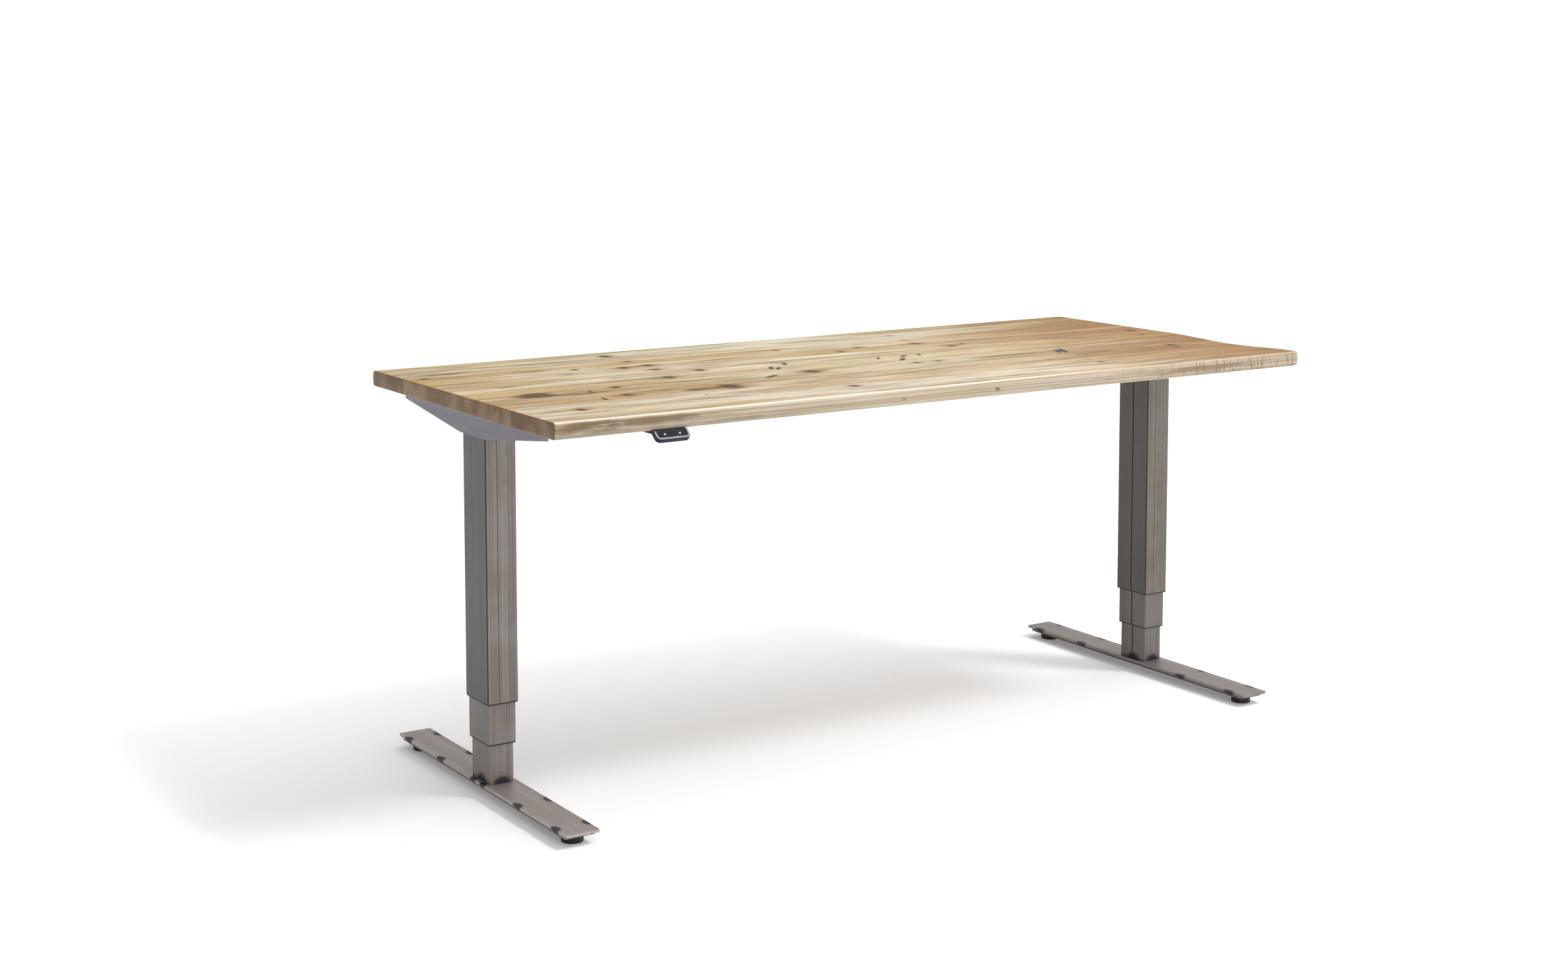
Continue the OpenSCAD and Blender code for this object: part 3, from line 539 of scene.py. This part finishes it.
def painted(name, colour, chips):
    """Sprayed paint with a faint orange peel and small chips."""
    g = Graph(name, Coat_Weight=0.3, Coat_Roughness=0.25)
    peel = g.cloud((300, 300, 300), 1.1, 2.0)
    chip = g.cloud((90, 90, 90), 7.2, 5.0, 0.7)
    g.rough(g.fade(peel, 0.3, 0.7, 0.36, 0.5))
    g.bump(peel, 0.1 * MM)
    return g.colour(g.mix(g.fade(chip, 0.70, 0.74, 0.0, 0.8), tone(colour), tone(chips)))


# ---------------------------------------------------------------- pieces


def dress(node, material):
    """Gives a CAD node a finished material."""
    mesh = frame["nodes"][node].data
    mesh.materials.clear()
    mesh.materials.append(material)


def ease(node, width, angle=40, segments=2):
    """Breaks a CAD node's sharp edges by a small bevel."""
    piece = frame["nodes"][node]
    bevel = piece.modifiers.new("eased_edges", "BEVEL")
    bevel.width = width
    bevel.segments = segments
    bevel.limit_method = "ANGLE"
    bevel.angle_limit = math.radians(angle)
    bevel.harden_normals = True


def new_piece(name, points, faces, material, body, smooth=True, sharp=35):
    """A mesh piece that rides on a body."""
    mesh = bpy.data.meshes.new(name)
    mesh.from_pydata([tuple(p) for p in points], [], faces)
    mesh.validate()
    mesh.materials.append(material)
    if smooth:
        mesh.polygons.foreach_set("use_smooth", [True] * len(mesh.polygons))
        mesh.set_sharp_from_angle(angle=math.radians(sharp))
    piece = bpy.data.objects.new(name, mesh)
    bpy.context.scene.collection.objects.link(piece)
    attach(piece, body)
    return piece


# Radii of the desktop's round edges: front and back, left end, right end, and the joints between boards
EDGE_ROUND = 9 * MM
LEFT_ROUND = 2.5 * MM
RIGHT_ROUND = 12 * MM
JOINT_EASE = 0.35 * MM

# The corners seen from above: their radii, and the distances from a long edge where their pull on the
# boards ends and where it is full
LEFT_CORNER = 3 * MM
RIGHT_CORNER = 20 * MM
CORNER_REACH = 70 * MM
CORNER_FULL = 9 * MM

# The hollow in the top: its depth, the distances from the right end where it starts and where it is full,
# the distance of its middle from the front edge, and half its width
DIP_DEPTH = 5 * MM
DIP_START = 170 * MM
DIP_FULL = 40 * MM
DIP_MIDDLE = 210 * MM
DIP_HALF = 190 * MM

# How finely a board is drawn: the step across its faces, the steps round its edge and the steps along it
OUTLINE_STEP = 7 * MM
ROUND_STEPS = 8
STATIONS = 200


def board_outline(low, high, round_front, round_back):
    """Points (y, z) round a board's end, with its outer edge rounded and its joints barely eased."""
    corners = [
        (high.y, high.z, 0, round_back), (low.y, high.z, 90, round_front),
        (low.y, low.z, 180, round_front), (high.y, low.z, 270, round_back),
    ]
    arcs = []
    for corner_y, corner_z, start, rounded in corners:
        r = EDGE_ROUND if rounded else JOINT_EASE
        steps = ROUND_STEPS if rounded else 1
        centre_y = corner_y - r if corner_y == high.y else corner_y + r
        centre_z = corner_z - r if corner_z == high.z else corner_z + r
        angles = [math.radians(start + 90 * step / steps) for step in range(steps + 1)]
        arcs.append([(centre_y + r * math.cos(a), centre_z + r * math.sin(a)) for a in angles])
    points = []
    for index, arc in enumerate(arcs):
        points += arc
        from_y, from_z = arc[-1]
        to_y, to_z = arcs[(index + 1) % len(arcs)][0]
        count = max(2, round(math.hypot(to_y - from_y, to_z - from_z) / OUTLINE_STEP))
        for step in range(1, count):
            share = step / count
            points.append((from_y + (to_y - from_y) * share, from_z + (to_z - from_z) * share))
    return points


def hollow(x, y, z, seed):
    """How far a hand-finished surface lies below its true plane, never less than nothing."""
    slow_depth, quick_depth = 0.35 * MM, 0.12 * MM
    slow = noise.noise(Vector((x * 5 + seed, y * 24, z * 24)))
    quick = noise.noise(Vector((x * 17 - seed, y * 60, z * 60)))
    return (0.5 + 0.5 * slow) * slow_depth + (0.5 + 0.5 * quick) * quick_depth


def quarter(distance, radius):
    """How far a rounded end has fallen back at a distance in from its tip."""
    short = max(0.0, radius - distance)
    return radius - math.sqrt(max(0.0, radius**2 - short**2))


def eased(share):
    """Goes from 0 to 1 with level ends."""
    share = max(0.0, min(1.0, share))
    return share * share * (3 - 2 * share)


def dip(x, y):
    """A worn hollow across the top near the right end, towards the front."""
    along = (x - DESK_HIGH.x + DIP_START) / (DIP_START - DIP_FULL)
    across = 1 - abs(y - DESK_LOW.y - DIP_MIDDLE) / DIP_HALF
    return DIP_DEPTH * eased(along) * eased(across)


def board_stations(low, high):
    """Places along a board where its outline is drawn, close together at its two rounded ends."""
    turns = (0, 15, 30, 45, 60, 75, 90)
    left = [low.x + LEFT_ROUND * (1 - math.cos(math.radians(a))) for a in turns]
    right = [high.x - RIGHT_ROUND * (1 - math.cos(math.radians(a))) for a in reversed(turns)]
    start, end = left[-1] + LEFT_ROUND, right[0] - RIGHT_ROUND
    return left + [start + (end - start) * i / STATIONS for i in range(STATIONS + 1)] + right


def corner_shift(x, y):
    """How far inward along y a point moves where the desktop's corners are rounded, seen from above."""
    plan = quarter(DESK_HIGH.x - x, RIGHT_CORNER) + quarter(x - DESK_LOW.x, LEFT_CORNER)
    from_edge = min(y - DESK_LOW.y, DESK_HIGH.y - y)
    fall = max(0.0, min(1.0, (CORNER_REACH - from_edge) / (CORNER_REACH - CORNER_FULL)))
    return plan * fall * (1 if y < 0 else -1)


def worn_point(number, low, high, x, y, z):
    """Moves a point of the plain outline inward to where the finished board's surface is."""
    greatest_sink = 0.9
    mid_y, mid_z = (low.y + high.y) / 2, (low.z + high.z) / 2
    half_z = (high.z - low.z) / 2
    worn = hollow(x, y, z, number * 11.0)
    sink = quarter(x - low.x, LEFT_ROUND) + quarter(high.x - x, RIGHT_ROUND)
    if z > mid_z:
        sink += dip(x, y)
    on_front = number == 7 and y < low.y + EDGE_ROUND
    on_back = number == 1 and y > high.y - EDGE_ROUND
    if on_front or on_back:
        y += math.copysign(worn, mid_y - y)
    elif abs(z - mid_z) >= half_z - JOINT_EASE * 1.5:
        sink += worn
    return x, y + corner_shift(x, y), mid_z + (z - mid_z) * (1 - min(greatest_sink, sink / half_z))


def board_piece(number):
    """A board with softly worn faces, round outer edges and eased joints, in place of the plain one."""
    node = f"plank_{number}"
    low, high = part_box(node)
    outline = board_outline(low, high, number == 7, number == 1)
    stations = board_stations(low, high)
    points = [worn_point(number, low, high, x, y, z) for x in stations for y, z in outline]
    n = len(outline)
    faces = []
    for i in range(len(stations) - 1):
        for j in range(n):
            k = (j + 1) % n
            faces.append((i * n + j, (i + 1) * n + j, (i + 1) * n + k, i * n + k))
    faces.append(tuple(range(n)))
    faces.append(tuple(reversed(range((len(stations) - 1) * n, len(stations) * n))))
    piece = new_piece(f"board_{number}", points, faces, pine(number, BOARDS[number]), "top")
    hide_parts(node)


def chevron(name, node, body, joint, points_up):
    """A small white arrow inlaid in a button, lying on its face."""
    inward = Vector(next(j["axis"] for j in frame["joints"] if j["name"] == joint))
    normal = -inward
    along = Vector((1, 0, 0))
    up = normal.cross(along)
    mesh = frame["nodes"][node].data
    level = max(v.co.dot(normal) for v in mesh.vertices)
    face = [v.co for v in mesh.vertices if v.co.dot(normal) > level - 0.05 * MM]
    centre = Vector((0, 0, 0))
    for direction in (along, up):
        reach = [p.dot(direction) for p in face]
        centre += direction * (min(reach) + max(reach)) / 2
    centre += normal * level
    half, rise, stroke, proud = 2.2 * MM, 1.9 * MM, 1.0 * MM, 0.08 * MM
    sign = 1 if points_up else -1
    spine = [(-half, -rise), (0.0, rise), (half, -rise)]
    lift = stroke * math.hypot(half, 2 * rise) / half / 2
    outline = [(u, v + lift) for u, v in spine] + [(u, v - lift) for u, v in reversed(spine)]
    low_ring = [centre + along * u + up * (v * sign) - normal * proud for u, v in outline]
    high_ring = [centre + along * u + up * (v * sign) + normal * proud for u, v in outline]
    n = len(outline)
    faces = [(0, 1, 4, 5), (1, 2, 3, 4), (n + 5, n + 4, n + 1, n), (n + 4, n + 3, n + 2, n + 1)]
    faces += [(j, n + j, n + (j + 1) % n, (j + 1) % n) for j in range(n)]
    white = moulded("printed_white", "e9e9ea", roughness=0.4, wear=0.1)
    tidy_normals(new_piece(name, low_ring + high_ring, faces, white, body, smooth=False))


def tidy_normals(piece):
    """Turns every face of a closed piece outward."""
    work = bmesh.new()
    work.from_mesh(piece.data)
    bmesh.ops.recalc_face_normals(work, faces=work.faces)
    work.to_mesh(piece.data)
    work.free()


def weld_bead(name, centre, outward, material, body):
    """A short tack weld along y: a low ridge with the ripples of the pool in it."""
    length, width, height_share = 16 * MM, 3.2 * MM, 0.7
    rings, sides = 22, 10
    ripple_depth, ripple_turn = 0.10, 2.1
    along = Vector((0, 1, 0))
    across = along.cross(outward)
    points = []
    for i in range(rings + 1):
        t = -1 + 2 * i / rings
        swell = math.sqrt(max(0.0, 1 - t * t))
        ripple = 1 + ripple_depth * math.cos(i * ripple_turn)
        r = width / 2 * swell * ripple + 0.02 * MM
        for j in range(sides):
            a = 2 * math.pi * j / sides
            rise = outward * (r * height_share * math.sin(a)) + across * (r * math.cos(a))
            points.append(centre + along * (t * length / 2) + rise)
    faces = [tuple(range(sides)), tuple(reversed(range(rings * sides, (rings + 1) * sides)))]
    for i in range(rings):
        for j in range(sides):
            k = (j + 1) % sides
            faces.append((i * sides + j, i * sides + k, (i + 1) * sides + k, (i + 1) * sides + j))
    tidy_normals(new_piece(name, points, faces, material, body, sharp=60))


# ---------------------------------------------------------------- the desk

# Painted light: the left column and foot are painted lighter and the right ones darker, standing in for the
# lamps' uneven light
COLUMN_PAINTED_LIGHT = {"left": (1.06, 1.05, 1.05, 1.0), "right": (0.78, 0.76, 0.70, 1.0)}
FOOT_PAINTED_LIGHT = {"left": (1.24, 1.23, 1.28, 1.0), "right": (0.67, 0.66, 0.65, 1.0)}

# Painted shade: how much darker the left and right faces of the outer tubes and of the narrower tubes are
# painted, standing in for the shade on the faces turned from the lamps
OUTER_PAINTED_SIDE_SHADE = {"left": 0.85, "right": 0.6}
NARROW_PAINTED_SIDE_SHADE = 0.05

# The foot's tack welds and the small heat marks between them, along y, and the radii of their colours
TACKS = (-324 * MM, -170 * MM, 170 * MM, 324 * MM)
SIDE_TACKS = (-22 * MM, 20 * MM)
TACK_TINT = (10 * MM, 15 * MM, 12 * MM)
SIDE_TINT = (8 * MM, 11 * MM, 10 * MM)

# The radii of the heat marks where a column meets its foot, and how far the ones at its sides are off centre
FRONT_TINT = (19 * MM, 8 * MM, 15 * MM)
FLANK_TINT = (7 * MM, 20 * MM, 16 * MM)
FLANK_OFFSET = -4 * MM

SEAM_HALF = 2.0 * MM
SCREW_PITCH = 16 * MM

# A tube's colours, and its die marks as (x from its middle and width in millimetres, depth of tone)
TUBES = {
    "outer": ("8a827a", "6c665f", ((-8, 1.1, 0.85), (12, 0.6, 0.35), (15, 0.9, 0.6), (-25, 0.8, 0.5),
                                   (23, 1.6, 0.3))),
    "middle": ("847d76", "6a645e", ((-12, 0.6, 0.35), (9, 0.9, 0.5), (15, 0.7, 0.4))),
    "inner": ("897f77", "6f6760", ((12, 1.1, 0.7), (-6, 0.5, 0.25), (16, 2.0, 0.25))),
}


def foot(side):
    """A foot plate and its channel, with the blue and brown marks of the tack welds along their edges."""
    low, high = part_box(f"{side}_foot_plate")
    centre = (low + high) / 2
    outer_x, inner_x = (low.x, high.x) if side == "left" else (high.x, low.x)
    tints = [((x, centre.y + y, high.z), TACK_TINT) for x in (outer_x, inner_x) for y in TACKS]
    tints += [((outer_x, centre.y + y, high.z), SIDE_TINT) for y in SIDE_TACKS]
    # Painted light: the foot's steel is multiplied lighter on the left and darker on the right
    look = {"painted_light_tone": FOOT_PAINTED_LIGHT[side], "tints": tints, "haze": 0.3}
    dress(f"{side}_foot_plate", steel(f"{side}_foot_steel", "aca49c", "928a82", "y", **look))
    # Painted shade: the channel is given a much darker steel than the plate, standing in for the shade under
    # the plate
    dress(f"{side}_foot_channel", steel(f"{side}_channel_painted_shade_steel", "6f6963", "57524d", "y", **look))
    ease(f"{side}_foot_plate", 0.8 * MM, segments=3)
    ease(f"{side}_foot_channel", 0.3 * MM)
    channel_low, channel_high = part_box(f"{side}_foot_channel")
    scale_grey = steel(f"{side}_weld_steel", "5a565c", "35343c", "y", roughness=0.5)
    for x, name in ((outer_x, "outer"), (inner_x, "inner")):
        on_left = x < centre.x
        wall_x = channel_low.x if on_left else channel_high.x
        outward = Vector((-1 if on_left else 1, 0, -1)).normalized()
        for index, y in enumerate(TACKS):
            corner = Vector((wall_x, centre.y + y, channel_high.z))
            weld_bead(f"{side}_{name}_tack_{index}", corner, outward, scale_grey, "base")
    for end in ENDS:
        dress(f"{side}_{end}_pad", PAD)
        ease(f"{side}_{end}_pad", 0.5 * MM, angle=50)
        dress(f"{side}_{end}_stud", ZINC)


def column(side):
    """The three tubes of a column, each with its own die marks, and the collars and nuts between them."""
    centre = middle(f"{side}_outer_tube")
    foot_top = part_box(f"{side}_foot_plate")[1].z
    seam = (centre.y, SEAM_HALF, 1 if side == "left" else -1)
    for part, (light_tone, dark_tone, marks) in TUBES.items():
        node = f"{side}_{part}_tube"
        low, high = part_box(node)
        lines = [(centre.x + place * MM, width * MM, depth) for place, width, depth in marks]
        tints = []
        if part == "inner":
            tints = [((centre.x, y, foot_top), FRONT_TINT) for y in (low.y, high.y)]
            tints += [((x, centre.y + FLANK_OFFSET, foot_top), FLANK_TINT) for x in (low.x, high.x)]
        # Painted shade on the side faces, and painted light that makes the whole column lighter or darker
        sides = OUTER_PAINTED_SIDE_SHADE[side] if part == "outer" else NARROW_PAINTED_SIDE_SHADE
        look = {"painted_light_tone": COLUMN_PAINTED_LIGHT[side], "tints": tints, "lines": lines, "sides": sides, "seam": seam}
        dress(node, steel(f"{side}_{part}_tube_steel", light_tone, dark_tone, "z", **look))
    # Black collar lips, partly real collar and partly a painted shadow under each tube's mouth
    mouth_lip_and_shadow(side, "outer", "top")
    mouth_lip_and_shadow(side, "middle", f"{side}_middle")
    for node in ("inner_collar", "middle_lower_collar", "middle_upper_collar", "outer_collar"):
        dress(f"{side}_{node}", GLIDE)
    for node in ("lower_nut", "upper_nut"):
        dress(f"{side}_{node}", NUT_BLOCK)


def rounded_ring(low, high, radius, inset, z):
    """Points round a tube's rounded corners at height z, each corner's radius cut by inset."""
    least_radius, corner_steps = 0.3 * MM, 6
    r = max(least_radius, radius - inset)
    points = []
    for corner_x, corner_y, start in ((1, 1, 0), (-1, 1, 90), (-1, -1, 180), (1, -1, 270)):
        centre_x = (high.x if corner_x > 0 else low.x) - corner_x * radius
        centre_y = (high.y if corner_y > 0 else low.y) - corner_y * radius
        for step in range(corner_steps + 1):
            a = math.radians(start + 90 * step / corner_steps)
            points.append((centre_x + r * math.cos(a), centre_y + r * math.sin(a), z))
    return points


def mouth_lip_and_shadow(side, part, body):
    """The black lip of a glide collar under a tube's mouth, dropped lower than the collar so that it also
    stands in as the painted shadow of the mouth.
    """
    low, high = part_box(f"{side}_{part}_tube")
    # Painted shadow: the deep drop makes the black lip show as a dark band, standing in for the mouth's
    # shadow on the tube below
    radius, wall, drop = 3 * MM, 1.8 * MM, 2.6 * MM
    top_inset, foot_inset = 0.25 * MM, 0.35 * MM
    rings = [
        rounded_ring(low, high, radius, top_inset, low.z),
        rounded_ring(low, high, radius, foot_inset, low.z - drop),
        rounded_ring(low, high, radius, wall, low.z - drop),
        rounded_ring(low, high, radius, wall, low.z),
    ]
    n = len(rings[0])
    points = [point for ring in rings for point in ring]
    faces = []
    for i in range(len(rings)):
        for j in range(n):
            k = (j + 1) % n
            below = (i + 1) % len(rings)
            faces.append((i * n + j, i * n + k, below * n + k, below * n + j))
    tidy_normals(new_piece(f"{side}_{part}_lip", points, faces, GLIDE, body))


def drive(side):
    """The screws, gears and motor in and on a column."""
    centre = middle(f"{side}_drive_screw")
    for part, colour, worn in (("drive", "a8a5a0", "7d776e"), ("hollow", "a3a09b", "79736b")):
        thread = machined(f"{side}_{part}_thread", colour, worn, screw=(centre.x, centre.y, SCREW_PITCH))
        dress(f"{side}_{part}_screw", thread)
    dress(f"{side}_bevel_wheel", BRASS)
    dress(f"{side}_pinion_shaft", SHAFT)
    dress(f"{side}_gear_housing", CAST)
    dress(f"{side}_motor", MOTOR)
    ease(f"{side}_motor", 0.7 * MM)


def top_frame():
    """The side brackets, the rails, the screws and nuts, and the control box."""
    for side in SIDES:
        bracket_steel = steel(f"{side}_bracket_steel", "7c7b84", "625f67", "y", haze=0.6, roughness=0.4)
        dress(f"{side}_side_bracket", bracket_steel)
        ease(f"{side}_side_bracket", 0.8 * MM, segments=3)
    rail_steel = steel("rail_steel", "84828a", "69666b", "x", haze=0.8)
    for end in ENDS:
        dress(f"{end}_rail", rail_steel)
        ease(f"{end}_rail", 0.5 * MM)
    dress("frame_screws", ZINC)
    dress("foot_nuts", ZINC)
    dress("control_box", moulded("box_black", "232427", grain=700, depth=0.15 * MM))
    ease("control_box", 1.2 * MM, segments=3)


def handset():
    """The handset's body, bezel and two buttons, each button with a white arrow."""
    dress("handset_body", moulded("handset_black", "101116", roughness=0.42, wear=0.15, gloss=0.3))
    ease("handset_body", 0.8 * MM, segments=3)
    dress("handset_bezel", moulded("bezel_grey", "757485", roughness=0.38, wear=0.2))
    ease("handset_bezel", 0.35 * MM)
    keys = moulded("button_black", "131318", grain=1500, roughness=0.6, wear=0.1, gloss=0.15)
    for name, up in (("up", True), ("down", False)):
        dress(f"{name}_button", keys)
        ease(f"{name}_button", 0.3 * MM)
        chevron(f"{name}_arrow", f"{name}_button", f"{name}_key", f"{name}_press", up)


PAD = moulded("pad_black", "0e0e0f", grain=600, depth=0.12 * MM, roughness=0.55)
GLIDE = moulded("glide_black", "0c0c0e", roughness=0.5, wear=0.1)
NUT_BLOCK = moulded("nut_grey", "3a3a3c", roughness=0.5)
ZINC = machined("zinc_plate", "a3a29e", "7c7a72")
SHAFT = machined("ground_shaft", "a9a6a2", "85817a", roughness=0.25)
BRASS = machined("gear_brass", "b8914a", "8a6a2f")
CAST = painted("cast_grey", "5b5e61", "8f8f8f")
MOTOR = painted("motor_black", "26272a", "6f6f70")

for number in BOARDS:
    board_piece(number)
for side in SIDES:
    foot(side)
    column(side)
    drive(side)
top_frame()
handset()


# ---------------------------------------------------------------- stage, light and camera


def floor():
    """A pale round floor that glows a little more far from the desk, so it runs into the white surround."""
    size = 14.0
    rings, sides, crowding = 24, 48, 1.5
    glow_start, glow_end, glow_near, glow_far = 3.0, 7.5, 0.15, 0.75
    points = [(0.0, 0.0, 0.0)]
    for i in range(1, rings + 1):
        r = size * (i / rings) ** crowding
        for j in range(sides):
            a = 2 * math.pi * j / sides
            points.append((r * math.cos(a), r * math.sin(a), 0.0))
    faces = [(0, 1 + j, 1 + (j + 1) % sides) for j in range(sides)]
    for i in range(rings - 1):
        for j in range(sides):
            k = (j + 1) % sides
            start = 1 + i * sides
            faces.append((start + j, start + sides + j, start + sides + k, start + k))
    g = Graph("studio_floor", Roughness=0.9, Specular_IOR_Level=0.1, Emission_Color=(1.0, 1.0, 1.0, 1.0))
    glow = g.fade(g.vector("LENGTH", g.place), glow_start, glow_end, glow_near, glow_far)
    g.put(g.surface.inputs["Emission Strength"], glow)
    g.colour(g.mix(g.cloud((2, 2, 2), 0.0, 2.0), tone("f1f2f5"), tone("f3f4f7")))
    mesh = bpy.data.meshes.new("floor")
    mesh.from_pydata(points, [], faces)
    mesh.materials.append(g.material)
    piece = bpy.data.objects.new("floor", mesh)
    bpy.context.scene.collection.objects.link(piece)


def light(name, place, target, size, power):
    """A rectangular area lamp that faces a target."""
    data = bpy.data.lights.new(name, "AREA")
    data.shape = "RECTANGLE"
    data.size, data.size_y = size
    data.energy = power
    lamp = bpy.data.objects.new(name, data)
    lamp.location = place
    lamp.rotation_euler = (Vector(target) - Vector(place)).to_track_quat("-Z", "Y").to_euler()
    bpy.context.scene.collection.objects.link(lamp)


def studio():
    """Three soft lamps, and a surround that is brighter on the right but looks plain white to the camera."""
    bright_side = (0.72, -0.55, 0.42)
    dim_at, bright_at, dim, bright = -0.55, 0.7, 0.24, 1.38
    white, seen_strength = (1.0, 1.0, 1.0, 1.0), 1.05
    world = bpy.data.worlds.new("studio")
    world.use_nodes = True
    tree = world.node_tree
    tree.nodes.clear()
    direction = tree.nodes.new("ShaderNodeTexCoord").outputs["Generated"]
    toward = tree.nodes.new("ShaderNodeVectorMath")
    toward.operation = "DOT_PRODUCT"
    toward.inputs[1].default_value = bright_side
    tree.links.new(direction, toward.inputs[0])
    spread = tree.nodes.new("ShaderNodeMapRange")
    spread.interpolation_type = "SMOOTHSTEP"
    for socket, value in zip(spread.inputs[1:5], (dim_at, bright_at, dim, bright)):
        socket.default_value = value
    tree.links.new(toward.outputs["Value"], spread.inputs[0])
    around = tree.nodes.new("ShaderNodeBackground")
    tree.links.new(spread.outputs[0], around.inputs["Strength"])
    behind = tree.nodes.new("ShaderNodeBackground")
    behind.inputs["Color"].default_value = white
    behind.inputs["Strength"].default_value = seen_strength
    seen = tree.nodes.new("ShaderNodeLightPath").outputs["Is Camera Ray"]
    choose = tree.nodes.new("ShaderNodeMixShader")
    tree.links.new(seen, choose.inputs[0])
    tree.links.new(around.outputs[0], choose.inputs[1])
    tree.links.new(behind.outputs[0], choose.inputs[2])
    output = tree.nodes.new("ShaderNodeOutputWorld")
    tree.links.new(choose.outputs[0], output.inputs["Surface"])
    bpy.context.scene.world = world
    light("softbox_key", place=(8.4, -8.8, 15.2), target=(0.0, 0.0, 0.3), size=(3.4, 3.4), power=1400)
    light("softbox_above", place=(1.5, 0.0, 4.4), target=(0.0, 0.0, 0.6), size=(4.6, 0.5), power=70)
    light("softbox_front", place=(-1.6, -6.5, 1.6), target=(-0.3, 0.0, 0.3), size=(3.0, 1.6), power=26)
    bpy.context.scene.view_settings.view_transform = "Standard"


def camera():
    """Looks from the front left and above the top, with a lens shift so the columns stay nearly upright."""
    data = bpy.data.cameras.new("camera")
    data.sensor_width = 36.0
    data.lens = 52.17
    data.shift_x = 0.0027
    data.shift_y = -0.14
    data.clip_start = 0.05
    data.clip_end = 60.0
    seat = bpy.data.objects.new("camera", data)
    seat.location = (-2.6774, -3.8681, 1.4038)
    turn, pitch = math.radians(-32.856), math.radians(5.222)
    seat.rotation_euler = (math.pi / 2 - pitch, 0.0, turn)
    bpy.context.scene.collection.objects.link(seat)
    bpy.context.scene.camera = seat


floor()
studio()
camera()
